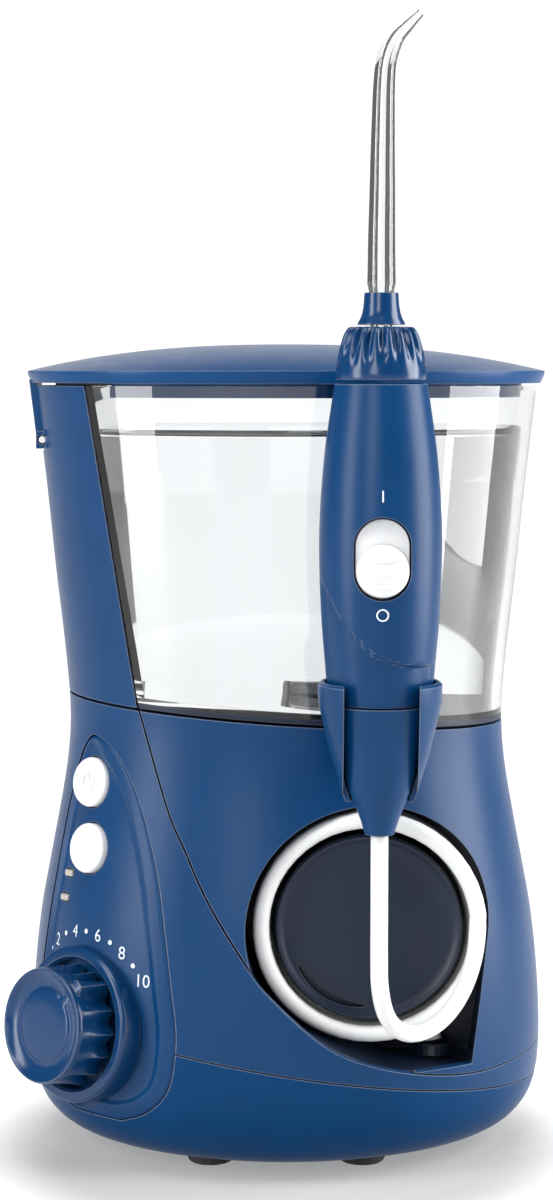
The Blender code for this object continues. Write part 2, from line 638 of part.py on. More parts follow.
def make_water_tubes():
    pump_side = Vector((PUMP_X, MOTOR_Y, 0))
    tube_at = {
        "inlet_tube": [(VALVE_X, VALVE_Y, 93.3), (VALVE_X, VALVE_Y, 90), (0, 22, 86),
                       (-8, 24, 81), pump_side + Vector((0, 12.5, 76)),
                       pump_side + Vector((0, 10.3, 74))],
        "pressure_tube": [pump_side + Vector((-10.3, 0, 80)), (-28, 11, 78), (-33, 4, 66),
                          (-33, -8, 52), (-32, -15, 43), (-31.5, -17.5, 39.5)],
        "feed_tube": [(-31, -16, 19.5), (-30, -17, 15.5), (-20, -18, 13), (0, -22, 13),
                      (22, -24, 13.5), (30, -25, 14.5), (33, -25, 18), (33, -25, 21.8)],
    }
    for name, route in tube_at.items():
        tube(name, [Vector(point) + AXIS for point in route], 1.8, "rubber")


# ---------------------------------------------------------------- reservoir and lid
def make_reservoir():
    low = SEAM_Z - 8.0
    tank = oval_solid("reservoir", 0.0, low, TANK_TOP_Z, "clear")
    hollow = oval_solid("cut_tank_hollow", 2.0, low - 1, 190.0)
    boolean(hollow, half_space("cut_tank_floor", SEAM_Z + 2.8, SEAM_TILT, -1))
    boolean(hollow, column_side("cut_hollow_left", 2.1, -1))
    bake(hollow)
    boolean(tank, half_space("cut_tank_under", SEAM_Z + 0.5, SEAM_TILT, -1))
    boolean(tank, column_side("cut_tank_left", 0.1, -1))
    hole = rod("cut_outlet", 3.4, 80, 120, segments=24)
    boolean(tank, place(hole, (VALVE_X, VALVE_Y, 0)))
    boolean(tank, hollow)
    floor_z = SEAM_Z - VALVE_X * tan(SEAM_TILT) + 2.8
    valve = turned("outlet_valve", ((0, 3.0), (4.6, 3.0), (5.4, 2.2), (5.4, 0.6), (3.0, 0.6),
                                    (3.0, -7.5), (0, -7.5)), "white", 24)
    place(valve, (VALVE_X, VALVE_Y, floor_z))
    cover = oval_solid("side_column", 0.0, low, TANK_TOP_Z, "navy")
    boolean(cover, half_space("cut_cover_under", SEAM_Z + 0.5, SEAM_TILT, -1))
    boolean(cover, column_side("cut_cover_right", -GAP, 1))
    core = oval_solid("cut_cover_hollow", 2.0, low - 2, TANK_TOP_Z - 2.0)
    boolean(core, half_space("cut_cover_floor", SEAM_Z + 2.5, SEAM_TILT, -1))
    bake(core)
    boolean(cover, core)
    slot = block("cut_strap_slot", (10.0, 2 * STRAP_HALF_WIDTH + 1.0, 30.0))
    boolean(cover, place(slot, (HINGE_X - 2.0, 0, HINGE_Z + 12.3)))
    bake(cover)
    join_pieces(cover, *hinge_ears())
    bore = rod("cut_hinge_bore", HINGE_PIN_R + GAP, -EAR_Y - 1.5, EAR_Y + 1.5, segments=16)
    boolean(cover, place(bore, (HINGE_X, 0, HINGE_Z), Matrix.Rotation(pi / 2, 4, "X")))
    bake(cover)
    pin = rod("hinge_pin", HINGE_PIN_R, -10.2, 10.2, "steel", 16)
    place(pin, (HINGE_X, 0, HINGE_Z), Matrix.Rotation(pi / 2, 4, "X"))
    return tank


def hinge_ears():
    ears = []
    for sign in (-1, 1):
        ear = block(f"hinge_ear_{sign}", (5.2, 1.8, 4.0), "navy")
        ears.append(place(ear, (HINGE_X + 1.1, sign * EAR_Y, HINGE_Z)))
    return ears


def make_lid():
    edge = LID_HALF_WIDTH
    dome = [(edge * share, LID_CREST_Z - (LID_CREST_Z - LID_RIM_Z) * share ** 2.4)
            for share in (0.0, 0.25, 0.45, 0.62, 0.77, 0.9, 1.0)]
    rim = [(edge, LID_RIM_Z - 0.8), (edge - 0.9, LID_UNDER_Z)]
    skirt = [(53.8, LID_UNDER_Z), (53.6, SKIRT_LOW_Z), (52.2, SKIRT_LOW_Z),
             (52.3, LID_UNDER_Z + 0.6)]
    ceiling = [(40.0, 176.6), (20.0, 178.6), (0.0, 179.4)]
    lid = turned("lid", dome + rim + skirt + ceiling, "lid_blue", squash=DEPTH_RATIO)
    place(lid, (0, 0, 0))
    trim = block("cut_lid_skirt", (60.0, 120.0, 20.0))
    place(trim, (SKIRT_END_X - 30.0, 0, LID_UNDER_Z - 9.9))
    boolean(lid, trim)
    bake(lid)
    strap = block("lid_strap", (1.6, 2 * STRAP_HALF_WIDTH, 14.2), "lid_blue")
    place(strap, (HINGE_X - 1.6, 0, HINGE_Z + 6.6), Matrix.Rotation(-STRAP_LEAN, 4, "Y"))
    barrel = rod("lid_barrel", HINGE_BARREL_R, -STRAP_HALF_WIDTH, STRAP_HALF_WIDTH, "lid_blue", 16)
    place(barrel, (HINGE_X, 0, HINGE_Z), Matrix.Rotation(pi / 2, 4, "X"))
    join_pieces(lid, strap, barrel)
    bore = rod("cut_lid_barrel", HINGE_PIN_R + GAP, -12, 12, segments=16)
    boolean(lid, place(bore, (HINGE_X, 0, HINGE_Z), Matrix.Rotation(pi / 2, 4, "X")))
    bake(lid)
    tray = turned("tip_tray", ((0.0, 175.6), (30.0, 175.6), (30.0, 171.2), (0.0, 171.2)),
                  "lid_blue", 32, squash=DEPTH_RATIO)
    hollow = turned("cut_tray", ((0.0, 178.0), (28.4, 178.0), (28.4, 172.6), (0.0, 172.6)),
                    segments=32, squash=DEPTH_RATIO)
    boolean(place(tray, (0, 0, 0)), place(hollow, (0, 0, 0)))


# ---------------------------------------------------------------- handle
def make_handle():
    outer = [(r, z) for z, r in HANDLE_OUTLINE]
    inner = [(r - HANDLE_WALL, z) for z, r in reversed(HANDLE_OUTLINE[1:])]
    barrel = turned("handle_barrel", outer + inner + [(8.5, 172.0), (3.4, 172.0), (3.4, 174.5)],
                    "navy", 28, closed=True)
    place(barrel, HANDLE)
    slot = outline_prism("cut_switch_slot", stadium(SWITCH_SLOT_R), 6.0, 25.0)
    facing = Matrix.Rotation(pi / 2, 4, "X")
    boolean(barrel, place(slot, HANDLE, facing))
    plate = outline_prism("switch_plate", stadium(SWITCH_SLOT_R - 0.35), 9.4, 10.7, "white")
    place(plate, HANDLE, facing)
    switch = turned("slide_switch", ((0, 14.0), (SWITCH_R - 1.2, 14.0), (SWITCH_R, 13.0),
                                     (SWITCH_R, 11.1), (0, 11.1)), "white", 32)
    place(switch, HANDLE + Vector((0, 0, SWITCH_OFF_Z)), facing)
    cone_outer = [(r, z) for z, r in CONE_OUTLINE]
    cone_inner = [(max(r - HANDLE_WALL, 1.3), z) for z, r in reversed(CONE_OUTLINE)]
    place(turned("handle_cone", cone_outer + cone_inner, "navy", 24, closed=True), HANDLE)
    valve = turned("handle_valve", ((0, 166), (2.8, 166), (2.8, 152), (5.6, 150), (5.6, 126),
                                    (2.8, 124), (2.8, 112), (0, 112)), "inner_grey", 20)
    place(valve, HANDLE)
    inner_tube = rod("handle_tube", 1.0, 82.0, 111.6, "rubber", 12)
    place(inner_tube, HANDLE)


def stadium(radius):
    """Upright slot outline between the switch's two end places."""
    low, high = SWITCH_LOW_Z + SWITCH_SLOT_R, SWITCH_HIGH_Z - SWITCH_SLOT_R
    turn = [radians(15 * i) for i in range(13)]
    top = [(radius * cos(a), high + radius * sin(a)) for a in turn]
    bottom = [(-radius * cos(a), low - radius * sin(a)) for a in turn]
    return top + bottom


def make_tip():
    outer = [(r, z) for z, r in TIP_KNOB_OUTLINE]
    place(turned("tip_knob", outer + [(TIP_BORE_R, 175.0), (TIP_BORE_R, 186.0)], "navy_gloss",
                 32, closed=True), HANDLE)
    collar = [(r, z) for z, r in NOZZLE_COLLAR_OUTLINE]
    place(turned("nozzle_collar", collar + [(NOZZLE_R + GAP, 186.4),
                                            (NOZZLE_R + GAP, 193.0)],
                 "navy_gloss", 28, closed=True), HANDLE)
    stem = place(rod("nozzle_stem", 2.3, 176.5, 187.0, "clear", 16), HANDLE)
    route = [(0, 0, 186.6), (0, 0, 205), (0.1, 0, 221), (0.4, 0, 235), (1.0, 0, 240.6),
             (2.8, 0, 244.8), (5.2, 0, 247.5), (7.7, 0, 249.9)]
    nozzle = tube("nozzle", [Vector(p) + HANDLE + AXIS for p in route], NOZZLE_R,
                  "clear", steps=2, end_radius=0.75)
    join_pieces(nozzle, stem)


# ---------------------------------------------------------------- hose
def make_hose():
    back_y = COIL_FRONT_Y + COIL_TURNS * COIL_PITCH
    ring = turned("hose_coil", ((COIL_R + HOSE_R + 0.15, -COIL_FRONT_Y),
                                (COIL_R + HOSE_R + 0.15, -back_y),
                                (COIL_R - HOSE_R - 0.15, -back_y),
                                (COIL_R - HOSE_R - 0.15, -COIL_FRONT_Y)), "hose_white", 40,
                  closed=True)
    place(ring, (BAY_X, 0, BAY_Z), Matrix.Rotation(pi / 2, 4, "X"))
    front = COIL_FRONT_Y - HOSE_R - 0.6
    drop = [(HANDLE.x, HANDLE.y, HANDLE_END_Z - GAP), (HANDLE.x, HANDLE.y, 66),
            (HANDLE.x, HANDLE.y, 52), (HANDLE.x + 1.5, HANDLE.y + 1.9, 41.4),
            (27.4, -51.4, 35.6), (33.7, -47.4, 37.8), (37.6, front - 0.6, 42.4),
            (39.6, front, 47.5)]
    tube("hose_drop", [Vector(p) + AXIS for p in drop], HOSE_R, "hose_white", steps=3)
    lead = [HOSE_EXIT + Vector((0, 0, 2.9)), HOSE_EXIT + Vector((0, 0, 5.0)),
            HOSE_EXIT + Vector((0.3, 0, 7.0))]
    tube("hose_lead", [p + AXIS for p in lead], HOSE_R, "hose_white", steps=2)


# ---------------------------------------------------------------- assembly
clear_scene()
PARTS = new_collection("water_flosser")
CUTTERS = new_collection("cutters")
MATERIALS = make_materials()

shared_cutters = make_shared_cutters()
make_tub(shared_cutters)
make_feet_and_screws()
make_left_housing(shared_cutters)
make_front_housing(shared_cutters)
make_deck()
make_bay(shared_cutters)
make_panel(shared_cutters)
make_knob()
make_drive()
make_water_tubes()
make_reservoir()
make_lid()
make_handle()
make_tip()
make_hose()
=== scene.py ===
# %% [markdown]
# # A countertop water flosser
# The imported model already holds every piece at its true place, and it decides how they move.
# This lesson dresses that frame: finer shells for what the eye sees, a clear tank with
# water in it, a wound hose, and a finish for each plastic, metal and rubber. Lengths are in
# millimetres from the body's upright axis, and turn into metres where an object is made.

# %% Load the frame
import json
from math import atan, cos, pi, radians, sin, sqrt

import bmesh
import bpy
from mathutils import Matrix, Vector


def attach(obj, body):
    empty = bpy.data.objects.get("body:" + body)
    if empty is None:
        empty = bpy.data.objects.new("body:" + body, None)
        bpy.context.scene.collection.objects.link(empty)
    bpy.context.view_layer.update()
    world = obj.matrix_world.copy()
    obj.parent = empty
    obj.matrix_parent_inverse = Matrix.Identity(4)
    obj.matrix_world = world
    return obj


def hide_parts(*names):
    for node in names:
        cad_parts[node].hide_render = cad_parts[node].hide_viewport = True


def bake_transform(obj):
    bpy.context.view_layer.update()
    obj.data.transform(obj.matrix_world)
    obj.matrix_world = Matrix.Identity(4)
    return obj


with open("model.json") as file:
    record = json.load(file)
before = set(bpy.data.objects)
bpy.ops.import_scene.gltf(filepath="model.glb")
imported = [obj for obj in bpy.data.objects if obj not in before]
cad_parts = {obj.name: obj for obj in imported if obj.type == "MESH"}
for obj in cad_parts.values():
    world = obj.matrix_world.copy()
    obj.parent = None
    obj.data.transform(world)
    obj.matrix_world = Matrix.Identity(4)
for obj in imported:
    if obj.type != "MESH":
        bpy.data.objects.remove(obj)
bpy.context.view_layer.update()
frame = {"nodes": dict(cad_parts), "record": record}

# %% [markdown]
# ## The camera and the light come first
# The unit is seen square on, with the eye at the height of the lid's rim, so the rim reads as
# a straight line. A long lens keeps the sides nearly parallel. Broad soft panels give satin
# plastic its long upright highlights. They are hidden from light that passes through clear
# plastic, so no lamp shows inside the tank. A pale floor and wall close the room.

# %% Camera
MM = 0.001
AXIS = Vector((1.855, 12.75, 0.0))
EYE_SIDE, EYE_HEIGHT, EYE_DISTANCE = -2.2, 177.0, 600.0
LOOK_DOWN = radians(5.02)
LENS, SENSOR_HEIGHT = 78.3, 36.0

camera_data = bpy.data.cameras.new("camera")
camera_data.sensor_fit = "VERTICAL"
camera_data.sensor_height = SENSOR_HEIGHT
camera_data.lens = LENS
camera_data.clip_start = 0.01
camera = bpy.data.objects.new("camera", camera_data)
bpy.context.scene.collection.objects.link(camera)
camera.location = (AXIS + Vector((EYE_SIDE, -EYE_DISTANCE, EYE_HEIGHT))) * MM
camera.rotation_euler = (pi / 2 - LOOK_DOWN, 0.0, 0.0)
bpy.context.scene.camera = camera
print("camera at", tuple(round(value, 3) for value in camera.location))

# %% Room, floor and lamps
def lamp(name, place_mm, aim_mm, size_mm, watts):
    """A soft panel that faces a point."""
    data = bpy.data.lights.new(name, "AREA")
    data.shape = "RECTANGLE"
    data.size, data.size_y = size_mm[0] * MM, size_mm[1] * MM
    data.energy = watts
    panel = bpy.data.objects.new(name, data)
    bpy.context.scene.collection.objects.link(panel)
    panel.location = Vector(place_mm) * MM
    panel.rotation_euler = (Vector(aim_mm) - Vector(place_mm)).to_track_quat("-Z", "Y").to_euler()
    panel.visible_transmission = False


lamp("panel_top", (-120, -260, 900), (0, 0, 80), (600, 400), 5.4)
lamp("panel_left", (-640, -330, 300), (0, 0, 130), (260, 700), 5.4)
lamp("panel_right", (640, -60, 300), (0, 0, 130), (420, 700), 10.0)
lamp("panel_front", (-300, -900, 420), (0, 0, 110), (300, 500), 3.4)

ROOM_GLOW, FLOOR_M, WALL_M = 0.13, 12.0, 2.6

world = bpy.data.worlds.new("white_room")
bpy.context.scene.world = world
world.use_nodes = True
backdrop = world.node_tree.nodes["Background"]
backdrop.inputs["Color"].default_value = (1.0, 1.0, 1.0, 1.0)
backdrop.inputs["Strength"].default_value = ROOM_GLOW
bpy.context.scene.view_settings.view_transform = "Standard"

bpy.ops.mesh.primitive_plane_add(size=FLOOR_M, location=(0, 0, 0))
floor = bpy.context.object
floor.name = "floor"
bpy.ops.mesh.primitive_plane_add(size=WALL_M, location=(0, 4.0, 1.0), rotation=(pi / 2, 0, 0))
wall = bpy.context.object
wall.name = "wall"

# %% [markdown]
# ## Finishes
# Almost everything is injection-moulded plastic. A mould leaves a faint even grain and the gloss
# wanders a little where the plastic flowed. Edges get a painted highlight, a paler line in the
# colour. So one recipe makes every plastic: fine noise drives the bump, broad noise drives
# gloss and tone, and a rounded-edge normal softens each corner and finds the edge that gets the
# painted highlight.

# %% Node helpers
def add_node(tree, kind, **inputs):
    node = tree.nodes.new(kind)
    for name, value in inputs.items():
        node.inputs[name.replace("_", " ")].default_value = value
    return node


def noise_at(tree, size_mm, detail=3.0):
    """Noise whose features are about the given size, in the object's own space."""
    place_node = tree.nodes.new("ShaderNodeTexCoord")
    noise = add_node(tree, "ShaderNodeTexNoise", Scale=1.0 / (size_mm * MM), Detail=detail)
    tree.links.new(place_node.outputs["Object"], noise.inputs["Vector"])
    return noise.outputs["Fac"]


def remap(tree, value, low, high):
    """Stretch noise from its usual 0.3 to 0.7 onto a wanted range."""
    node = add_node(tree, "ShaderNodeMapRange", From_Min=0.3, From_Max=0.7, To_Min=low, To_Max=high)
    tree.links.new(value, node.inputs["Value"])
    return node.outputs["Result"]


def blend_colors(tree, factor, low, high):
    node = tree.nodes.new("ShaderNodeMix")
    node.data_type = "RGBA"
    for socket, value in ((node.inputs[6], low), (node.inputs[7], high)):
        if isinstance(value, tuple):
            socket.default_value = (*value, 1.0)
        else:
            tree.links.new(value, socket)
    tree.links.new(factor, node.inputs["Factor"])
    return node.outputs[2]


def edge_mask(tree, radius_mm):
    """1 on rounded edges and 0 on open faces, with the rounded normal itself."""
    rounded = tree.nodes.new("ShaderNodeBevel")
    rounded.samples = 4
    rounded.inputs["Radius"].default_value = radius_mm * MM
    flat = tree.nodes.new("ShaderNodeNewGeometry")
    dot = tree.nodes.new("ShaderNodeVectorMath")
    dot.operation = "DOT_PRODUCT"
    tree.links.new(rounded.outputs["Normal"], dot.inputs[0])
    tree.links.new(flat.outputs["Normal"], dot.inputs[1])
    edge_highlight_mask = add_node(tree, "ShaderNodeMapRange", From_Min=0.995, From_Max=0.86,
                    To_Min=0.0, To_Max=1.0)
    tree.links.new(dot.outputs["Value"], edge_highlight_mask.inputs["Value"])
    return edge_highlight_mask.outputs["Result"], rounded.outputs["Normal"]


# %% The moulded plastic recipe
def moulded(name, color, roughness, grain_mm=0.35, grain=0.05, edge_light=0.25,
            edge_mm=0.35, metallic=0.0, coat=0.0, drift=0.05, shine=0.5):
    """Moulded plastic: grain, wandering gloss, a drift of tone and a painted highlight on the
    edges.
    """
    material = bpy.data.materials.new(name)
    material.use_nodes = True
    tree = material.node_tree
    shader = tree.nodes["Principled BSDF"]
    shader.inputs["Metallic"].default_value = metallic
    shader.inputs["Coat Weight"].default_value = coat
    shader.inputs["Specular IOR Level"].default_value = shine
    shader.inputs["Coat Roughness"].default_value = 0.06
    dark = tuple(c * (1.0 - drift) for c in color)
    pale = tuple(min(c * (1.0 + drift), 1.0) for c in color)
    # Painted highlight: edges get a paler base colour, as if they caught the light.
    edge = tuple(c + (0.75 - c) * edge_light for c in color)
    tone = blend_colors(tree, remap(tree, noise_at(tree, 14.0), 0.0, 1.0), dark, pale)
    edge_highlight_mask, normal = edge_mask(tree, edge_mm)
    tree.links.new(blend_colors(tree, edge_highlight_mask, tone, edge), shader.inputs["Base Color"])
    gloss = remap(tree, noise_at(tree, 5.0), roughness * 0.95, min(roughness * 1.05, 1.0))
    tree.links.new(gloss, shader.inputs["Roughness"])
    bump = add_node(tree, "ShaderNodeBump", Strength=grain, Distance=0.05 * MM)
    tree.links.new(noise_at(tree, grain_mm, 4.0), bump.inputs["Height"])
    tree.links.new(normal, bump.inputs["Normal"])
    tree.links.new(bump.outputs["Normal"], shader.inputs["Normal"])
    return material


def clear_material(name, ior, tint, roughness, ripple_mm, ripple):
    """A clear solid: it bends light, with a slow ripple from the mould or the water."""
    material = bpy.data.materials.new(name)
    material.use_nodes = True
    tree = material.node_tree
    shader = tree.nodes["Principled BSDF"]
    shader.inputs["Transmission Weight"].default_value = 1.0
    shader.inputs["IOR"].default_value = ior
    shader.inputs["Base Color"].default_value = (*tint, 1.0)
    tree.links.new(remap(tree, noise_at(tree, 20.0), roughness * 0.5, roughness * 1.5),
                   shader.inputs["Roughness"])
    bump = add_node(tree, "ShaderNodeBump", Strength=ripple, Distance=0.2 * MM)
    tree.links.new(noise_at(tree, ripple_mm, 1.0), bump.inputs["Height"])
    tree.links.new(bump.outputs["Normal"], shader.inputs["Normal"])
    return material


# %% The object's own finishes, by the record's slots
FINISH = {
    "navy": moulded("navy_satin", (0.0010, 0.032, 0.106), 0.33, shine=0.18),
    "navy_gloss": moulded("navy_gloss", (0.0008, 0.028, 0.095), 0.22, grain=0.015, coat=0.15,
                          shine=0.3),
    # Near-black navy for the hose bay, spool and tank foot: partly the parts' dark plastic, partly
    # painted shade of the deep bay.
    "dark_navy": moulded("navy_dark_and_painted_shade", (0.0030, 0.0085, 0.024), 0.40, edge_light=0.08, shine=0.3),
    "lid_blue": moulded("lid_satin", (0.002, 0.040, 0.130), 0.30, edge_light=0.20, shine=0.14),
    "clear": clear_material("clear_plastic", 1.49, (0.975, 0.985, 0.99), 0.02, 18.0, 0.04),
    "white": moulded("white_gloss", (0.66, 0.67, 0.68), 0.24, grain=0.02, edge_light=0.05,
                     coat=0.3),
    "hose_white": moulded("hose_sleeve", (0.64, 0.65, 0.65), 0.40, grain_mm=0.5, grain=0.06,
                          edge_light=0.0, drift=0.04),
    "lamp_grey": moulded("lamp_window", (0.33, 0.31, 0.28), 0.2, grain=0.01, coat=0.5),
    "rubber": moulded("soft_rubber", (0.022, 0.022, 0.024), 0.75, grain=0.2, edge_light=0.05),
    "steel": moulded("drawn_steel", (0.52, 0.53, 0.55), 0.32, grain_mm=0.2, metallic=1.0),
    "inner_grey": moulded("inner_grey", (0.24, 0.25, 0.27), 0.55, grain=0.12),
    "board_green": moulded("lacquered_board", (0.012, 0.12, 0.05), 0.35, grain_mm=0.9, grain=0.2),
    "brass": moulded("turned_brass", (0.62, 0.43, 0.18), 0.3, grain_mm=0.2, metallic=1.0),
}
WATER = clear_material("water", 1.33, (0.87, 0.875, 0.88), 0.004, 30.0, 0.01)
TUB_NAVY = moulded("tub_satin", (0.0008, 0.033, 0.108), 0.33, shine=0.08)
MARKING = moulded("marking_ink", (0.62, 0.68, 0.76), 0.5, grain=0.02, edge_light=0.0)
print("finishes:", len(FINISH))

# %% [markdown]
# ## The floor's painted shadow and the hose's painted groove shade
# A floor that glows faintly looks white without strong lamps. The glow is lower near the
# object and rises with distance from it, which paints a soft shadow round its foot. The hose's
# colour is darkened where its turns lie against each other, a painted shade for the little light
# that reaches those grooves.

# %% Floor and wall
PAINTED_SHADOW_GLOW, FAR_GLOW, NEAR_MM, FAR_MM = 0.30, 0.92, 52.0, 80.0
for surface in (floor, wall):
    paint = moulded("glow_and_painted_shadow_" + surface.name, (0.26, 0.26, 0.26), 0.6, grain_mm=2.0, grain=0.01,
                    edge_light=0.0, drift=0.01)
    paint_tree = paint.node_tree
    paint_shader = paint_tree.nodes["Principled BSDF"]
    paint_shader.inputs["Emission Color"].default_value = (1.0, 1.0, 1.0, 1.0)
    spot = paint_tree.nodes.new("ShaderNodeNewGeometry")
    away = paint_tree.nodes.new("ShaderNodeVectorMath")
    away.operation = "LENGTH"
    # Painted shadow: the glow dips near the object, so the floor is darker round its foot.
    painted_shadow_fade = add_node(paint_tree, "ShaderNodeMapRange", From_Min=NEAR_MM * MM, From_Max=FAR_MM * MM,
                    To_Min=PAINTED_SHADOW_GLOW, To_Max=FAR_GLOW)
    painted_shadow_fade.interpolation_type = "SMOOTHSTEP"
    paint_tree.links.new(spot.outputs["Position"], away.inputs[0])
    paint_tree.links.new(away.outputs["Value"], painted_shadow_fade.inputs["Value"])
    paint_tree.links.new(painted_shadow_fade.outputs["Result"], paint_shader.inputs["Emission Strength"])
    surface.data.materials.append(paint)
print("glow rises from", PAINTED_SHADOW_GLOW, "to", FAR_GLOW, "over", FAR_MM - NEAR_MM, "mm")

# %% Painted shade in the grooves of the hose
GROOVE_SHADE_REACH = 2.5

hose_tree = FINISH["hose_white"].node_tree
hose_shader = hose_tree.nodes["Principled BSDF"]
# Painted shade: ambient occlusion darkens the base colour where the hose's turns touch.
groove_painted_shade = add_node(hose_tree, "ShaderNodeAmbientOcclusion", Distance=GROOVE_SHADE_REACH * MM)
hose_tree.links.new(hose_shader.inputs["Base Color"].links[0].from_socket, groove_painted_shade.inputs["Color"])
hose_tree.links.new(groove_painted_shade.outputs["Color"], hose_shader.inputs["Base Color"])

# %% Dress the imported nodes
slot_of = {part["node"]: part["material_slot"] for part in frame["record"]["subparts"]}
for node_name, node_object in frame["nodes"].items():
    node_object.data.materials.clear()
    node_object.data.materials.append(FINISH[slot_of[node_name]])
print("nodes dressed:", len(slot_of))

# %% [markdown]
# ## Modelling helpers
# The body, the lid and the tank are all slices of one oval turned shape, so they are made the
# way a designer would: turn one smooth profile, squash it to an oval, and trim it with a few
# shared cutters. The helpers below turn, extrude, trim and sweep, and each piece then needs
# only a few lines.

# %% Turn, place and trim
BODY_SEGMENTS = 120
DEPTH_RATIO = 0.81


def shade(mesh, angle=32):
    mesh.shade_smooth()
    mesh.set_sharp_from_angle(angle=radians(angle))


def link(obj):
    bpy.context.scene.collection.objects.link(obj)
    return obj


def bake(obj, angle=32):
    """Swap an object's mesh for its evaluated one, scale included."""
    bpy.context.view_layer.update()
    evaluated = obj.evaluated_get(bpy.context.evaluated_depsgraph_get())
    mesh = bpy.data.meshes.new_from_object(evaluated)
    mesh.transform(Matrix.Diagonal((*obj.scale, 1.0)))
    if obj.type == "CURVE":
        flat = link(bpy.data.objects.new(obj.name + "_solid", mesh))
        flat.matrix_world = obj.matrix_world
        bpy.data.objects.remove(obj, do_unlink=True)
        obj = flat
        work = bmesh.new()
        work.from_mesh(mesh)
        bmesh.ops.remove_doubles(work, verts=work.verts, dist=0.000005)
        bmesh.ops.recalc_face_normals(work, faces=work.faces)
        work.to_mesh(mesh)
        work.free()
    obj.modifiers.clear()
    obj.data = mesh
    obj.scale = (1.0, 1.0, 1.0)
    shade(mesh, angle)
    return obj


def place(obj, origin, rotation=None):
    matrix = Matrix.Translation((Vector(origin) + AXIS) * MM)
    obj.matrix_world = matrix @ rotation if rotation else matrix
    return obj


def turned(name, profile, segments=96, squash=1.0, closed=False):
    """Turn (radius, height) points, listed down the outer side, about Z."""
    mesh = bpy.data.meshes.new(name)
    edges = [(i, i + 1) for i in range(len(profile) - 1)]
    if closed:
        edges.append((len(profile) - 1, 0))
    mesh.from_pydata([(r * MM, 0.0, z * MM) for r, z in profile], edges, [])
    obj = link(bpy.data.objects.new(name, mesh))
    screw = obj.modifiers.new("Turn", "SCREW")
    screw.steps = screw.render_steps = segments
    screw.use_merge_vertices = True
    screw.merge_threshold = 0.000001
    obj.scale = (1.0, squash, 1.0)
    return bake(obj)


def trim(target, cutter, operation="DIFFERENCE"):
    """Cut, keep or join with another solid, which is used up."""
    modifier = target.modifiers.new("Trim", "BOOLEAN")
    modifier.operation = operation
    modifier.object = cutter
    bake(target)
    bpy.data.objects.remove(cutter, do_unlink=True)
    return target


def block(name, size):
    work = bmesh.new()
    bmesh.ops.create_cube(work, size=1.0)
    bmesh.ops.scale(work, vec=Vector(size) * MM, verts=work.verts)
    mesh = bpy.data.meshes.new(name)
    work.to_mesh(mesh)
    work.free()
    return link(bpy.data.objects.new(name, mesh))


def prism(name, outline, low, high):
    """A closed flat outline in its own XY, raised from one height to another."""
    curve = bpy.data.curves.new(name, "CURVE")
    curve.dimensions = "2D"
    curve.fill_mode = "BOTH"
    curve.extrude = (high - low) / 2 * MM
    spline = curve.splines.new("POLY")
    spline.points.add(len(outline) - 1)
    for point, (x, y) in zip(spline.points, outline):
        point.co = (x * MM, y * MM, 0.0, 1.0)
    spline.use_cyclic_u = True
    obj = bake(link(bpy.data.objects.new(name, curve)))
    obj.data.transform(Matrix.Translation((0, 0, (low + high) / 2 * MM)))
    return obj


def rod(name, radius, low, high, segments=48):
    return turned(name, ((0, high), (radius, high), (radius, low), (0, low)), segments)


def upright(outline, name, low_y, high_y):
    """A prism of an (x, z) outline that runs front to back."""
    return place(prism(name, outline, -high_y, -low_y), (0, 0, 0), FACING_FRONT)


def fit_out(obj, name, body, slot, *nodes, material=None):
    """Name a finished piece, give it its finish, and hang it on its body."""
    obj.name = name
    obj.data.materials.clear()
    obj.data.materials.append(material or FINISH[slot])
    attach(obj, body)
    if nodes:
        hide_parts(*nodes)
    print(name, "faces:", len(obj.data.polygons))
    return obj


FACING_FRONT = Matrix.Rotation(pi / 2, 4, "X")

# %% Smooth curves and swept tubes
def smooth_line(route, steps):
    """Catmull-Rom points through a route, its ends included."""
    knots = [Vector(point) for point in route]
    padded = [2 * knots[0] - knots[1], *knots, 2 * knots[-1] - knots[-2]]
    points = []
    for before, start, end, after in zip(padded, padded[1:], padded[2:], padded[3:]):
        for step in range(steps):
            t = step / steps
            points.append(0.5 * (2 * start + t * (end - before)
                          + t * t * (2 * before - 5 * start + 4 * end - after)
                          + t ** 3 * (3 * start - before - 3 * end + after)))
    return points + [knots[-1]]


def ring_frames(points):
    """Two cross directions at each point that turn as little as possible along the line."""
    ahead = [(b - a).normalized() for a, b in zip(points, points[1:])]
    ahead = [ahead[0]] + [(a + b).normalized() for a, b in zip(ahead, ahead[1:])] + [ahead[-1]]
    side = ahead[0].orthogonal().normalized()
    frames = []
    for direction in ahead:
        side = (side - direction * side.dot(direction)).normalized()
        frames.append((side, direction.cross(side)))
    return frames


def swept(name, points, radius_at, sides=20, bore_at=None):
    """A tube along points; with a bore it is hollow and open at both ends."""
    work = bmesh.new()
    frames = ring_frames(points)

    def rings(radius_of):
        made = []
        for index, (point, (side, up)) in enumerate(zip(points, frames)):
            radius = radius_of(index / (len(points) - 1))
            made.append([work.verts.new((point + (side * cos(a) + up * sin(a)) * radius) * MM)
                         for a in (2 * pi * k / sides for k in range(sides))])
        return made

    def skin(made, outward):
        for low, high in zip(made, made[1:]):
            for k in range(sides):
                n = (k + 1) % sides
                face = (low[k], low[n], high[n], high[k])
                work.faces.new(face if outward else face[::-1])

    outer = rings(radius_at)
    skin(outer, True)
    if bore_at:
        inner = rings(bore_at)
        skin(inner, False)
        for rim_out, rim_in, flip in ((outer[0], inner[0], False), (outer[-1], inner[-1], True)):
            for k in range(sides):
                n = (k + 1) % sides
                face = (rim_out[n], rim_out[k], rim_in[k], rim_in[n])
                work.faces.new(face[::-1] if flip else face)
    else:
        work.faces.new(outer[0][::-1])
        work.faces.new(outer[-1])
    mesh = bpy.data.meshes.new(name)
    work.to_mesh(mesh)
    work.free()
    shade(mesh, 50)
    return link(bpy.data.objects.new(name, mesh))
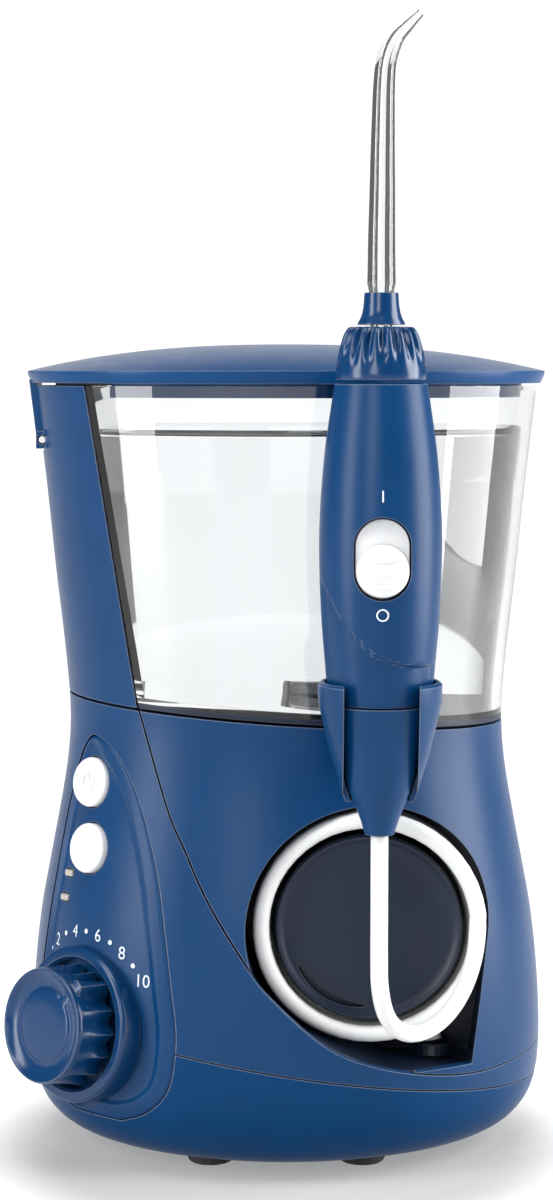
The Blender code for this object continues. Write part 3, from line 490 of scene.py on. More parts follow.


# %% [markdown]
# ## The hose, wound on its spool
# The hose is one soft tube: out of a gland in the bay's floor, round the spool, then in
# a loose bend up to the handle. A formula winds the turns, a hose's width apart. One mesh
# covers the whole run.

# %% Hose route
BAY_X, BAY_Z, BAY_R, BAY_FLOOR_Z = 18.0, 55.7, 27.0, 24.5
BAY_CORNER_X, BAY_BACK_Y = 41.0, -20.0
HANDLE = Vector((19.4, -59.2, 0.0))
HANDLE_END_Z = 80.3
HOSE_R, COIL_R = 1.85, 23.9
HOSE_PITCH, COIL_FRONT_Y = 3.78, -40.1
HOSE_EXIT = Vector((33.0, -25.0, BAY_FLOOR_Z + 2.9))
FIRST_ANGLE, LAST_ANGLE = 8.0, 1692.0
ANGLE_STEP = 8.0


def coil_point(angle):
    """A place on the winding; the angle counts from the right, over the top, from the front."""
    turn = radians(angle)
    turns = (angle - FIRST_ANGLE) / 360.0
    radius = COIL_R - 0.22 * turns + 0.25 * sin(1.3 * turns * 2 * pi)
    return Vector((BAY_X + radius * cos(turn), COIL_FRONT_Y + HOSE_PITCH * turns,
                   BAY_Z + radius * sin(turn)))


winding = [coil_point(FIRST_ANGLE + ANGLE_STEP * i)
           for i in range(int((LAST_ANGLE - FIRST_ANGLE) / ANGLE_STEP) + 1)]
lead_in = [(HOSE_EXIT.x, HOSE_EXIT.y, HOSE_EXIT.z), (HOSE_EXIT.x - 0.4, HOSE_EXIT.y + 0.3, 28.6),
           (30.6, -24.2, 30.6), (26.4, -23.2, 31.1), (21.6, -22.6, 31.3)]
drop = [(HANDLE.x, HANDLE.y, HANDLE_END_Z - 0.3), (HANDLE.x, HANDLE.y, 72),
        (HANDLE.x, HANDLE.y, 62), (HANDLE.x, HANDLE.y, 54), (HANDLE.x + 0.2, HANDLE.y + 0.3, 47.5),
        (20.9, -57.3, 41.4), (23.6, -54.6, 37.3), (27.4, -51.4, 35.6), (31.7, -48.3, 36.5),
        (35.7, -45.5, 39.6), (38.9, -43.2, 44.6), (41.0, -41.4, 51.2)]
hose_line = (smooth_line(lead_in + [tuple(winding[-1])], 5)[:-1]
             + winding[::-1][:-1]
             + smooth_line([tuple(winding[0])] + drop[::-1], 5))
hose_line = [point + AXIS for point in hose_line]

# %% Hose mesh
hose = swept("hose", hose_line, lambda share: HOSE_R, sides=16)
hose.data.materials.append(FINISH["hose_white"])
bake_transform(hose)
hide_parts("hose_coil", "hose_drop", "hose_lead")

# %% [markdown]
# ## The oval body
# Half widths at a few heights describe the whole silhouette: a rounded tub, a waist and a
# flared top. A smooth curve through them gives every shell its profile, so neighbours
# line up across the seams. Each shell is the outer solid less an inner one.

# %% Profile of the skin
OUTLINE = (
    (2.3, 43.0), (4.2, 49.5), (7.5, 54.3), (13.0, 57.6), (22.0, 58.9), (37.0, 58.5),
    (53.0, 56.8), (65.0, 54.6), (77.0, 52.3), (87.0, 50.6), (96.0, 49.8), (104.0, 50.0),
    (117.0, 51.2), (131.0, 52.8), (151.0, 54.8), (176.0, 57.6),
)
GAP, WALL, FLOOR_Z = 0.3, 2.4, 2.3
PARTING_Z, PARTING_TILT = 25.0, atan(0.16)
SEAM_Z, SEAM_TILT = 100.5, atan(0.065)


def half_width(z):
    z = min(max(z, OUTLINE[0][0]), OUTLINE[-1][0])
    index = next(i for i in range(len(OUTLINE) - 1) if z <= OUTLINE[i + 1][0])
    (z0, w0), (z1, w1) = OUTLINE[index], OUTLINE[index + 1]
    before, after = OUTLINE[max(index - 1, 0)], OUTLINE[min(index + 2, len(OUTLINE) - 1)]
    slope0 = (w1 - before[1]) / (z1 - before[0])
    slope1 = (after[1] - w0) / (after[0] - z0)
    span = z1 - z0
    t = (z - z0) / span
    return ((2 * t ** 3 - 3 * t ** 2 + 1) * w0 + (t ** 3 - 2 * t ** 2 + t) * span * slope0
            + (3 * t ** 2 - 2 * t ** 3) * w1 + (t ** 3 - t ** 2) * span * slope1)


def oval(name, inset, low, high):
    """A solid of the body's oval shape, with rings closer together where the tub curves in."""
    heights = [2.3, 2.6, 3.1, 3.7, 4.5, 5.5, 6.7, 8.2, 10.0, 12.0, 14.5, 17.5]
    heights += [21.0 + 3.5 * i for i in range(45)]
    rings = [high] + [z for z in reversed(heights) if low + 0.3 < z < high - 0.3] + [low]
    profile = [(0.0, high)] + [(half_width(z) - inset, z) for z in rings] + [(0.0, low)]
    return place(turned(name, profile, BODY_SEGMENTS, DEPTH_RATIO), (0, 0, 0))


def half_space(height, tilt, side):
    obj = block("half_space", (260.0, 260.0, 200.0))
    obj.data.transform(Matrix.Translation((0, 0, side * 100.0 * MM)))
    return place(obj, (0, 0, height), Matrix.Rotation(tilt, 4, "Y"))


def inside_of_base():
    return oval("inside", WALL, FLOOR_Z + WALL, 130.0)


def above_parting():
    return half_space(PARTING_Z - GAP / 2, PARTING_TILT, 1)


def below_parting():
    return half_space(PARTING_Z + GAP / 2, PARTING_TILT, -1)


def above_seam():
    return half_space(SEAM_Z - GAP / 2, SEAM_TILT, 1)


print("waist:", round(half_width(98), 1), "mm, tub:", round(half_width(22), 1), "mm half width")

# %% Panel outline and its frame
PANEL_OUT = Vector((-sin(radians(45)), -cos(radians(45)), 0.0))
PANEL_RIGHT = Vector((cos(radians(45)), -sin(radians(45)), 0.0))
PANEL_U, PANEL_Z, PANEL_LEAN, PANEL_SUNK = -9.6, 32.0, -0.094, 1.2
KNOB_U = -12.0
PANEL_EDGES = (
    (12.0, 7.0, 7.0), (15.0, 14.5, 14.5), (21.0, 19.6, 20.4), (32.0, 20.9, 23.0),
    (44.0, 18.4, 22.4), (54.0, 16.3, 21.4), (64.0, 14.6, 19.8), (72.0, 13.2, 17.8),
    (80.0, 11.2, 15.0), (87.0, 8.4, 11.4), (93.0, 4.6, 6.6),
)
PANEL_FACING = Matrix((PANEL_RIGHT, Vector((0, 0, 1)), PANEL_OUT)).transposed().to_4x4()


def panel_outline(grow):
    """The arch, rounded through its reach to the left and to the right at each height."""
    def side(sign):
        return [(PANEL_U + PANEL_LEAN * (z - PANEL_Z) + sign * (reach[sign > 0] + grow), z)
                for z, *reach in PANEL_EDGES]
    top = PANEL_EDGES[-1][0] + 2.6 + grow
    apex = (PANEL_U + PANEL_LEAN * (top - PANEL_Z), top)
    right, left = side(1), side(-1)
    arch = [(x, z, 0.0) for x, z in [*right, apex, *reversed(left)]]
    return [(point.x, point.y) for point in smooth_line(arch, 5)]


def panel_prism(grow):
    return place(prism("panel_prism", panel_outline(grow), 20, 90), (0, 0, 0), PANEL_FACING)


def skin_point(u, z, inset=0.0):
    """The place on the skin that lies u sideways and z up as the panel is faced."""
    width = half_width(z) - inset
    depth = width * DEPTH_RATIO
    across, out = PANEL_RIGHT * u, PANEL_OUT
    a = (out.x / width) ** 2 + (out.y / depth) ** 2
    b = 2 * (across.x * out.x / width ** 2 + across.y * out.y / depth ** 2)
    c = (across.x / width) ** 2 + (across.y / depth) ** 2 - 1.0
    return across + out * (-b + sqrt(b * b - 4 * a * c)) / (2 * a) + Vector((0.0, 0.0, z))


def tilted_out(tilt):
    return Vector((PANEL_OUT.x * cos(tilt), PANEL_OUT.y * cos(tilt), sin(tilt)))


def aim(direction):
    z = direction.normalized()
    x = Vector((0, 0, 1)).cross(z).normalized()
    return Matrix((x, z.cross(x), z)).transposed().to_4x4()


# %% Tub
GLAND_X, GLAND_Z, GLAND_HOLE_R = 20.0, 14.0, 4.3

tub = oval("tub_shell", 0.0, FLOOR_Z, 60.0)
trim(tub, inside_of_base())
trim(tub, above_parting())
trim(tub, panel_prism(GAP))
gland_hole = rod("gland_hole", GLAND_HOLE_R, 30, 60)
trim(tub, place(gland_hole, (GLAND_X, 0, GLAND_Z), Matrix.Rotation(-pi / 2, 4, "X")))
stepped = ((0, 20), (1.7, 20), (1.7, 3.6), (3.1, 3.6), (3.1, 1), (0, 1))
for screw_x in (-30.0, 30.0):
    for screw_y in (-8.0, 22.0):
        hole = turned("screw_hole", stepped, 32)
        trim(tub, place(hole, (screw_x, screw_y, 0)))
fit_out(tub, "tub_shell", "base", "navy", "base_tub", material=TUB_NAVY)

# %% [markdown]
# ## Two housings that meet in a wave
# The left housing sweeps down and under the hose bay as a sash, and the front housing fills
# the rest. Both are cut from the same oval by one wavy outline, so the groove between
# them is the same width all along.

# %% Wave seam
WAVE = (
    (-33.0, 104.0), (-26.4, 82.0), (-22.4, 73.0), (-17.2, 62.0), (-9.0, 49.0),
    (-3.5, 42.0), (9.0, 31.0), (22.0, 25.6), (38.0, 22.4), (50.0, 22.4), (62.0, 24.0),
)


def wave_prism(shift):
    edge = [(p.x + shift, p.y + shift) for p in smooth_line([(x, z, 0.0) for x, z in WAVE], 6)]
    outline = [(-90.0, 104.0 + shift), *edge, (90.0, 24.0 + shift), (90.0, -20.0), (-90.0, -20.0)]
    return upright(outline, "wave", -90, 90)


left = oval("left_shell", 0.0, 8.0, 112.0)
for cutter in (inside_of_base(), below_parting(), above_seam(), panel_prism(GAP)):
    trim(left, cutter)
trim(left, wave_prism(0.0), "INTERSECT")
fit_out(left, "left_shell", "base", "navy", "left_housing")

# %% Bay mouth and cradle
def bay_outline(grow):
    radius = BAY_R + grow
    arc = [(BAY_X + radius * cos(a), BAY_Z + radius * sin(a))
           for a in (radians(-6 + 3 * i) for i in range(79))]
    floor_z = BAY_FLOOR_Z - grow
    return [*arc, (BAY_X + 4.0, floor_z), (BAY_CORNER_X + grow, floor_z)]


CRADLE_TOP_Z, CRADLE_BOTTOM_Z = 112.5, 87.0
HANDLE_OUTLINE = (
    (174.5, 9.6), (170.0, 10.3), (160.0, 11.7), (148.0, 12.6), (138.0, 12.75),
    (126.0, 12.3), (116.0, 11.5), (108.0, 10.85),
)
CONE_OUTLINE = ((107.7, 10.8), (98.0, 8.7), (90.0, 6.6), (84.0, 4.3), (80.3, 3.1))


def handle_radius(z):
    outline = HANDLE_OUTLINE + CONE_OUTLINE
    for (high, r_high), (low, r_low) in zip(outline, outline[1:]):
        if low <= z <= high:
            return r_low + (r_high - r_low) * (z - low) / (high - low)
    return outline[-1][1]


def cradle():
    """A cup round the handle's cone, open in front so that two arms are left, on a web."""
    outer = [(CRADLE_TOP_Z, 12.4), (CRADLE_TOP_Z - 0.6, 13.0), (108.0, 12.9), (98.0, 10.6),
             (CRADLE_BOTTOM_Z + 0.5, 7.4), (CRADLE_BOTTOM_Z, 6.9)]
    inner = [(z, handle_radius(z) + 0.6) for z in (CRADLE_BOTTOM_Z, 98.0, 107.7, CRADLE_TOP_Z)]
    profile = [(r, z) for z, r in outer] + [(r, z) for z, r in inner]
    cup = place(turned("cradle_cup", profile, 72, closed=True), HANDLE)
    trim(cup, place(block("slot", (15.5, 20.0, 60.0)), HANDLE + Vector((0, -10.2, 100))))
    web = place(block("web", (9.0, 17.0, 24.0)), HANDLE + Vector((0, 13.4, 100.2)))
    hollow = [(0, CRADLE_TOP_Z + 1), (12.1, CRADLE_TOP_Z + 1)]
    hollow += [(r, z) for z, r in reversed(inner)]
    trim(web, place(turned("bore", hollow + [(5.0, 80.0), (0, 80.0)], 72), HANDLE))
    trim(web, inside_of_base())
    trim(web, oval("clear_of_tank", -0.8, SEAM_Z - 1.8, 125.0))
    return trim(cup, web, "UNION")


front = oval("front_shell", 0.0, 15.0, 112.0)
for cutter in (inside_of_base(), below_parting(), above_seam(), wave_prism(GAP)):
    trim(front, cutter)
trim(front, upright(bay_outline(0.0), "mouth", -70, -8))
trim(front, cradle(), "UNION")
fit_out(front, "front_shell", "base", "navy", "front_housing")

# %% [markdown]
# ## Hose bay and spool
# Behind the round mouth sits a deep cup in near-black navy: partly the dark plastic, partly the
# pocket's painted shade. The spool in it has a smooth face with a thin crescent-shaped slot near
# its rim, where a finger turns it on the real unit.

# %% Bay liner
bay = upright(bay_outline(1.7), "bay", -60, BAY_BACK_Y + 1.8)
trim(bay, upright(bay_outline(0.1), "bay_hollow", -70, BAY_BACK_Y))
trim(bay, oval("bay_limit", WALL + GAP, FLOOR_Z + WALL + GAP, 130.0), "INTERSECT")
feed_hole = rod("feed_hole", 2.6, 10, 30)
trim(bay, place(feed_hole, (HOSE_EXIT.x, HOSE_EXIT.y, 0)))
fit_out(bay, "bay_liner", "base", "dark_navy", "hose_bay")

# %% Spool
SPOOL_R, SPOOL_FRONT = 20.5, 38.5


def crescent(radius, thickness, start, end, steps=24):
    """An arc-shaped slot that tapers to a point at both ends."""
    def arc(sign):
        points = []
        for i in range(steps + 1):
            share = i / steps
            turn = radians(start + (end - start) * share)
            reach = radius + sign * thickness / 2 * sin(pi * share) ** 0.6
            points.append((reach * cos(turn), reach * sin(turn)))
        return points
    return arc(1) + arc(-1)[-2:0:-1]


spool_back = -(BAY_BACK_Y - GAP)
dome = [(r, SPOOL_FRONT - 1.2 + 0.25 * cos(pi / 2 * r / 18.0)) for r in (0, 4, 8, 12, 15, 18)]
spool = turned("spool", dome + [
    (SPOOL_R - 1.6, SPOOL_FRONT - 0.9), (SPOOL_R - 1.1, SPOOL_FRONT - 0.3),
    (SPOOL_R - 0.5, SPOOL_FRONT - 0.1), (SPOOL_R, SPOOL_FRONT - 0.7),
    (SPOOL_R, SPOOL_FRONT - 3), (SPOOL_R - 0.8, SPOOL_FRONT - 4),
    (SPOOL_R - 0.8, spool_back), (0, spool_back)], 128)
trim(spool, prism("slot", crescent(17.6, 1.5, 208, 268), SPOOL_FRONT - 3.2, SPOOL_FRONT + 3))
place(spool, (BAY_X, 0, BAY_Z), FACING_FRONT)
fit_out(spool, "spool_face", "base", "dark_navy", "hose_spool")

# %% [markdown]
# ## Control panel
# The arched plate lies a little below the housings and follows the same oval. Holes for the
# buttons and lamps are cut through it. The scale round the knob is printed, so its digits
# are flat shapes that sit just proud of the plate, each turned to its own patch of skin.

# %% Panel plate
BUTTON_R, BUTTON_PROUD, BUTTON_TILT = 5.6, 1.9, radians(10)
BUTTONS = {"power_button": (-7.0, 85.0), "mode_button": (-5.0, 70.6)}
INDICATORS = {"indicator_floss": (-12.3, 64.0), "indicator_massage": (-12.8, 58.5)}
KNOB_TILT = radians(8)


def panel_spot(u, z, inset=PANEL_SUNK):
    return skin_point(PANEL_U + u, z, inset)


RIM_INSET, RIM_RIGHT, RIM_LEFT, RIM_SLOPE = 0.15, 3.2, 0.5, 1.8


def ease(share):
    share = min(max(share, 0.0), 1.0)
    return share * share * (3.0 - 2.0 * share)


def rim_inset(reach, width):
    """How far under the skin the plate lies, at a distance in from its edge."""
    rounding = 0.35 * (max(0.5 - reach, 0.0) / 0.5) ** 2
    return RIM_INSET + rounding + (PANEL_SUNK - RIM_INSET) * ease((reach - width) / RIM_SLOPE)


def panel_plate():
    """Rings of points from the edge in to a spine, each laid on the skin."""
    outline = panel_outline(0.0)
    (left_u, low_z), (right_u, _) = outline[-1], outline[0]
    outline += [(left_u + (right_u - left_u) * share, low_z) for share in (0.2, 0.4, 0.6, 0.8)]
    work = bmesh.new()
    columns = []
    for u, z in outline:
        spine_z = min(max(z, 26.0), 84.0)
        spine = Vector((PANEL_U + PANEL_LEAN * (spine_z - PANEL_Z), spine_z))
        inward = spine - Vector((u, z))
        length = inward.length
        inward.normalize()
        width = RIM_LEFT + (RIM_RIGHT - RIM_LEFT) * ease(0.5 + (u - spine.x) / 6.0)
        reaches = [d * min(1.0, length / 7.0)
                   for d in (0, 0.12, 0.3, 0.6, 1.1, 1.7, 2.4, 3.0, 3.5, 4.0, 4.5, 5.0, 5.6)]
        reaches += [reaches[-1] + (length - reaches[-1]) * share for share in (0.35, 0.7, 1.0)]
        columns.append([work.verts.new(skin_point(u + inward.x * reach, z + inward.y * reach,
                                                  rim_inset(reach, width)) * MM)
                        for reach in reaches])
    for here, after in zip(columns, columns[1:] + columns[:1]):
        for k in range(len(here) - 1):
            work.faces.new((here[k], after[k], after[k + 1], here[k + 1]))
    bmesh.ops.remove_doubles(work, verts=work.verts, dist=0.000005)
    mesh = bpy.data.meshes.new("plate")
    work.to_mesh(mesh)
    work.free()
    obj = link(bpy.data.objects.new("plate", mesh))
    thick = obj.modifiers.new("Thickness", "SOLIDIFY")
    thick.thickness = 2.2 * MM
    thick.offset = -1.0
    return place(bake(obj), (0, 0, 0))


plate = panel_plate()
for u, z in BUTTONS.values():
    trim(plate, place(rod("button_hole", BUTTON_R + GAP, -12, 12), panel_spot(u, z),
                      aim(tilted_out(BUTTON_TILT))))
for u, z in INDICATORS.values():
    trim(plate, place(block("lamp_hole", (3.2, 2.1, 12.0)), panel_spot(u, z), PANEL_FACING))
knob_foot = skin_point(KNOB_U, PANEL_Z, PANEL_SUNK)
trim(plate, place(rod("stem_hole", 3.6, -12, 12), knob_foot, aim(tilted_out(KNOB_TILT))))
fit_out(plate, "panel_plate", "base", "navy", "control_panel")

# %% Lamp windows
for name, (u, z) in INDICATORS.items():
    window = block(name + "_window", (2.6, 1.5, 2.6))
    soften = window.modifiers.new("Soften", "BEVEL")
    soften.width, soften.segments = 0.35 * MM, 3
    bake(place(window, panel_spot(u, z) - PANEL_OUT * 0.75, PANEL_FACING))
    fit_out(window, name + "_window", "base", "lamp_grey", name)


# %% Printed scale: numbers with dots between them
def printed(name, text, size_mm, spot, facing, lift=0.05):
    """Flat print in a plain typeface, lifted just clear of the surface."""
    curve = bpy.data.curves.new(name, "FONT")
    curve.body = text
    curve.size = size_mm * MM
    curve.align_x, curve.align_y = "CENTER", "CENTER"
    curve.extrude = 0.02 * MM
    obj = link(bpy.data.objects.new(name, curve))
    bpy.context.view_layer.update()
    mesh = bpy.data.meshes.new_from_object(obj.evaluated_get(bpy.context.evaluated_depsgraph_get()))
    bpy.data.objects.remove(obj, do_unlink=True)
    flat = link(bpy.data.objects.new(name, mesh))
    normal = facing.to_3x3() @ Vector((0, 0, 1))
    return place(flat, spot + normal * lift, facing)


def join_all(objects, name):
    """Several meshes made one, in the world's own frame."""
    work = bmesh.new()
    for obj in objects:
        mesh = obj.data
        mesh.transform(obj.matrix_world)
        work.from_mesh(mesh)
        bpy.data.objects.remove(obj, do_unlink=True)
    mesh = bpy.data.meshes.new(name)
    work.to_mesh(mesh)
    work.free()
    return link(bpy.data.objects.new(name, mesh))


def skin_facing(u, z):
    """A rotation that lies flat on the sunk plate at a place, upright as the panel is faced."""
    step = 0.5
    across = (panel_spot(u + step, z) - panel_spot(u - step, z)).normalized()
    rise = (panel_spot(u, z + step) - panel_spot(u, z - step)).normalized()
    out = across.cross(rise).normalized()
    return Matrix((across, out.cross(across), out)).transposed().to_4x4()


SCALE_R, SCALE_START, SCALE_STEP = 20.4, 136.0, 11.2
prints = []
for setting in range(1, 11):
    turn = radians(SCALE_START - SCALE_STEP * (setting - 1))
    u, z = KNOB_U - PANEL_U + SCALE_R * cos(turn), PANEL_Z + SCALE_R * sin(turn)
    label = str(setting) if setting % 2 == 0 else "•"
    size = 4.0 if setting % 2 == 0 else 4.4
    prints.append(printed(f"scale_{setting}", label, size, panel_spot(u, z), skin_facing(u, z)))
scale_print = join_all(prints, "scale_print")
fit_out(scale_print, "scale_print", "base", "white", material=MARKING)

# %% [markdown]
# ## Buttons
# Both buttons are white pucks with a soft shoulder. The upper one is dished
# and carries a raised ring with a gap and a bar, the common sign for power.

# %% Button pucks
def puck(dish):
    """Down the outer side from the middle of the face."""
    face = [(0.0, BUTTON_PROUD - dish), (2.0, BUTTON_PROUD - dish * 0.8),
            (3.4, BUTTON_PROUD - dish * 0.25), (4.2, BUTTON_PROUD)]
    shoulder = [(4.2 + 1.4 * sin(a), BUTTON_PROUD - 1.2 + 1.2 * cos(a))
                for a in (radians(15 * i) for i in range(1, 7))]
    return face + shoulder + [(BUTTON_R, BUTTON_PROUD - 7.0), (0.0, BUTTON_PROUD - 7.0)]


for name, dish in (("power_button", 0.5), ("mode_button", -0.15)):
    cap = turned(name + "_cap", puck(dish), 96)
    place(cap, panel_spot(*BUTTONS[name]), aim(tilted_out(BUTTON_TILT)))
    fit_out(cap, name + "_cap", name + "_body", "white", name)

ring = [(1.9 * sin(a), 1.9 * cos(a), 1.62) for a in (radians(35 + 10 * i) for i in range(30))]
bar = [(0.0, 0.5, 1.6), (0.0, 1.5, 1.62), (0.0, 2.7, 1.68)]
symbol = join_all([swept("ring", [Vector(p) for p in ring], lambda share: 0.24, 10),
                   swept("bar", [Vector(p) for p in bar], lambda share: 0.24, 10)], "power_sign")
place(symbol, panel_spot(*BUTTONS["power_button"]), aim(tilted_out(BUTTON_TILT)))
fit_out(symbol, "power_sign", "power_button_body", "white", material=MARKING)

# %% [markdown]
# ## Pressure knob
# A glossy knob turns in a raised collar. Its side has tapered ribs for grip, deep at the
# back and fading towards the rim, and one bold rib is the pointer. The ribs are a change of
# radius round the rings of a turned shape, which keeps the surface continuous.

# %% Knob and collar
COLLAR_R, COLLAR_INNER_R, COLLAR_HEIGHT = 17.2, 14.4, 3.4
KNOB_R, KNOB_FRONT, KNOB_BACK = 12.7, 12.2, 1.9
KNOB_FACING = aim(tilted_out(KNOB_TILT))

arc = [(COLLAR_R - 1.0 + sin(a), COLLAR_HEIGHT - 1.0 + cos(a)) for a in
       (radians(15 * i) for i in range(7))]
collar = turned("collar", [(COLLAR_INNER_R + 0.6, COLLAR_HEIGHT)] + arc
                + [(COLLAR_R, -7), (COLLAR_INNER_R, -7), (COLLAR_INNER_R, COLLAR_HEIGHT - 0.6)],
                128, closed=True)
place(collar, knob_foot, KNOB_FACING)
trim(collar, oval("collar_back", PANEL_SUNK - GAP, 4.0, 80.0))
fit_out(collar, "collar_ring", "base", "navy_gloss", "knob_collar")


def ribbed(name, rings, depth_at, ribs, steps_per_rib=8, sharp=1.0, pointer=None):
    """A closed turned shape whose radius dips between ribs; rings run from front to back."""
    work = bmesh.new()
    count = ribs * steps_per_rib
    made = []
    for radius, z in rings:
        ring = []
        for k in range(count):
            turn = 2 * pi * k / count
            dip = (0.5 - 0.5 * cos(ribs * turn)) ** sharp
            reach = radius - depth_at(z) * dip
            if pointer:
                reach += pointer(turn, z)
            ring.append(work.verts.new((reach * cos(turn) * MM, reach * sin(turn) * MM, z * MM)))
        made.append(ring)
    for upper, lower in zip(made, made[1:]):
        for k in range(count):
            n = (k + 1) % count
            work.faces.new((upper[k], lower[k], lower[n], upper[n]))
    work.faces.new(made[0])
    work.faces.new(made[-1][::-1])
    mesh = bpy.data.meshes.new(name)
    work.to_mesh(mesh)
    work.free()
    shade(mesh, 40)
    return link(bpy.data.objects.new(name, mesh))


def knob_depth(z):
    """Rib depth: none on the face and rim, most near the back."""
    share = (KNOB_FRONT - 1.4 - z) / (KNOB_FRONT - 1.4 - KNOB_BACK)
    return 1.9 * max(0.0, min(share, 1.0)) ** 0.8 if z > 0 else 0.0


POINTER_ANGLE, POINTER_WIDTH = radians(49), radians(6)


def pointer_rib(turn, z):
    """One bold rib that shows the setting."""
    away = abs(turn - POINTER_ANGLE) / POINTER_WIDTH
    return 1.7 * (1.0 - ease(away - 0.6)) if 0.0 < z < KNOB_FRONT - 1.3 else 0.0


def face_ring(radius, z):
    return (radius, KNOB_FRONT + z)


knob_rings = [face_ring(0.05, -0.95), face_ring(4, -0.97), face_ring(7.4, -1.02),
              face_ring(7.8, -1.1), face_ring(8.1, -1.4), face_ring(8.4, -1.5),
              face_ring(10.0, -1.2), face_ring(11.4, -0.55), face_ring(11.8, -0.15),
              face_ring(12.1, 0.0),
              face_ring(12.45, -0.08), face_ring(12.65, -0.4), face_ring(12.7, -1.2)]
knob_rings += [(KNOB_R + 0.8 * share, KNOB_FRONT - 1.4 - 7.9 * share) for share in
               (0.03, 0.1, 0.2, 0.3, 0.45, 0.6, 0.8, 1.0)]
knob_rings += [(KNOB_R + 0.4, KNOB_BACK), (3.0, KNOB_BACK), (3.0, -11.5), (0.05, -11.5)]
knob = ribbed("knob", knob_rings, knob_depth, 16, steps_per_rib=12, sharp=0.6, pointer=pointer_rib)
place(knob, knob_foot, KNOB_FACING)
fit_out(knob, "knob_body", "pressure_knob_body", "navy_gloss", "pressure_knob")

# %% [markdown]
# ## Reservoir, water and side column
# The tank is a clear shell with a flat wall where the blue side column stands. The water is
# its own solid, a hair inside the wall, because light bends at both faces and that makes the
# grey bands along the edges. A thin dark foot lies under the tank's clear floor, and the
# column closes the oval on the left.

# %% Tank
COLUMN_X, COLUMN_TILT = -38.0, atan(0.16)
TANK_TOP_Z, WATER_Z = 173.7, 162.8
VALVE_X, VALVE_Y = 5.0, 18.0
TANK_LOW_Z = SEAM_Z - 8.0
FOOT_TOP_Z = SEAM_Z + 1.7


def column_side(offset, side):
    obj = block("column_side", (200.0, 260.0, 320.0))
    obj.data.transform(Matrix.Translation((side * 100.0 * MM, 0, 0)))
    return place(obj, (COLUMN_X + offset, 0, 137.0), Matrix.Rotation(-COLUMN_TILT, 4, "Y"))


tank = oval("tank", 0.0, TANK_LOW_Z, TANK_TOP_Z)
trim(tank, half_space(FOOT_TOP_Z + 0.05, SEAM_TILT, -1))
trim(tank, column_side(0.1, -1))
outlet = rod("outlet", 3.4, 80, 120)
trim(tank, place(outlet, (VALVE_X, VALVE_Y, 0)))
hollow = oval("hollow", 2.0, TANK_LOW_Z - 1, 190.0)
trim(hollow, half_space(SEAM_Z + 2.8, SEAM_TILT, -1))
trim(hollow, column_side(2.1, -1))
trim(tank, hollow)
fit_out(tank, "clear_tank", "reservoir_body", "clear", "reservoir")

# %% Tank foot
foot = oval("foot", 0.05, TANK_LOW_Z, TANK_TOP_Z)
trim(foot, half_space(SEAM_Z + 0.5, SEAM_TILT, -1))
trim(foot, half_space(FOOT_TOP_Z, SEAM_TILT, 1))
trim(foot, column_side(0.15, -1))
trim(foot, place(rod("outlet", 6.2, 80, 120), (VALVE_X, VALVE_Y, 0)))
fit_out(foot, "tank_foot", "reservoir_body", "dark_navy")

# %% Water
WATER_INSET = 2.06

water_wall = half_width(WATER_Z) - WATER_INSET
meniscus = [(0.0, WATER_Z), (water_wall - 4.0, WATER_Z), (water_wall - 2.4, WATER_Z + 0.1),
            (water_wall - 1.2, WATER_Z + 0.35), (water_wall - 0.5, WATER_Z + 0.8),
            (water_wall - 0.1, WATER_Z + 1.6)]
water_side = [(half_width(z) - WATER_INSET, z)
              for z in (WATER_Z - 0.5 - 3.5 * i for i in range(21))]
water_profile = meniscus + water_side + [(0.0, water_side[-1][1])]
water = turned("water", water_profile, BODY_SEGMENTS, DEPTH_RATIO)
place(water, (0, 0, 0))
trim(water, half_space(SEAM_Z + 2.86, SEAM_TILT, -1))
trim(water, column_side(2.16, -1))
valve_space = rod("valve_space", 5.6, 80, 106.5)
trim(water, place(valve_space, (VALVE_X, VALVE_Y, 0)))
fit_out(water, "water", "reservoir_body", "clear", material=WATER)

# %% Side column with its hinge ears
HINGE_X, HINGE_Z, HINGE_PIN_R, HINGE_BARREL_R = -55.0, 161.5, 0.8, 1.7
STRAP_LEAN, STRAP_HALF_WIDTH, EAR_Y = radians(6.8), 7.0, 9.3

column = oval("column", 0.0, TANK_LOW_Z, TANK_TOP_Z)
trim(column, half_space(SEAM_Z + 0.5, SEAM_TILT, -1))
trim(column, column_side(-GAP, 1))
core = oval("column_hollow", 2.0, TANK_LOW_Z - 2, TANK_TOP_Z - 2.0)
trim(core, half_space(SEAM_Z + 2.5, SEAM_TILT, -1))
trim(column, core)
slot = block("strap_slot", (10.0, 2 * STRAP_HALF_WIDTH + 1.0, 30.0))
trim(column, place(slot, (HINGE_X - 2.0, 0, HINGE_Z + 12.3)))
for side in (-1, 1):
    ear = block("ear", (5.2, 1.8, 4.0))
    trim(column, place(ear, (HINGE_X + 1.1, side * EAR_Y, HINGE_Z)), "UNION")
bore = rod("bore", HINGE_PIN_R + GAP, -EAR_Y - 1.5, EAR_Y + 1.5)
trim(column, place(bore, (HINGE_X, 0, HINGE_Z), FACING_FRONT))
fit_out(column, "column_shell", "reservoir_body", "navy", "side_column")

# %% [markdown]
# ## Lid
# A low dome with a thin lip. Its skirt drops inside the tank, and a strap at the left end
# lies in the column's skin and reaches down to the hinge.

# %% Lid shell
LID_HALF_WIDTH, LID_CREST_Z, LID_RIM_Z, LID_UNDER_Z = 59.0, 183.0, 177.0, 174.2

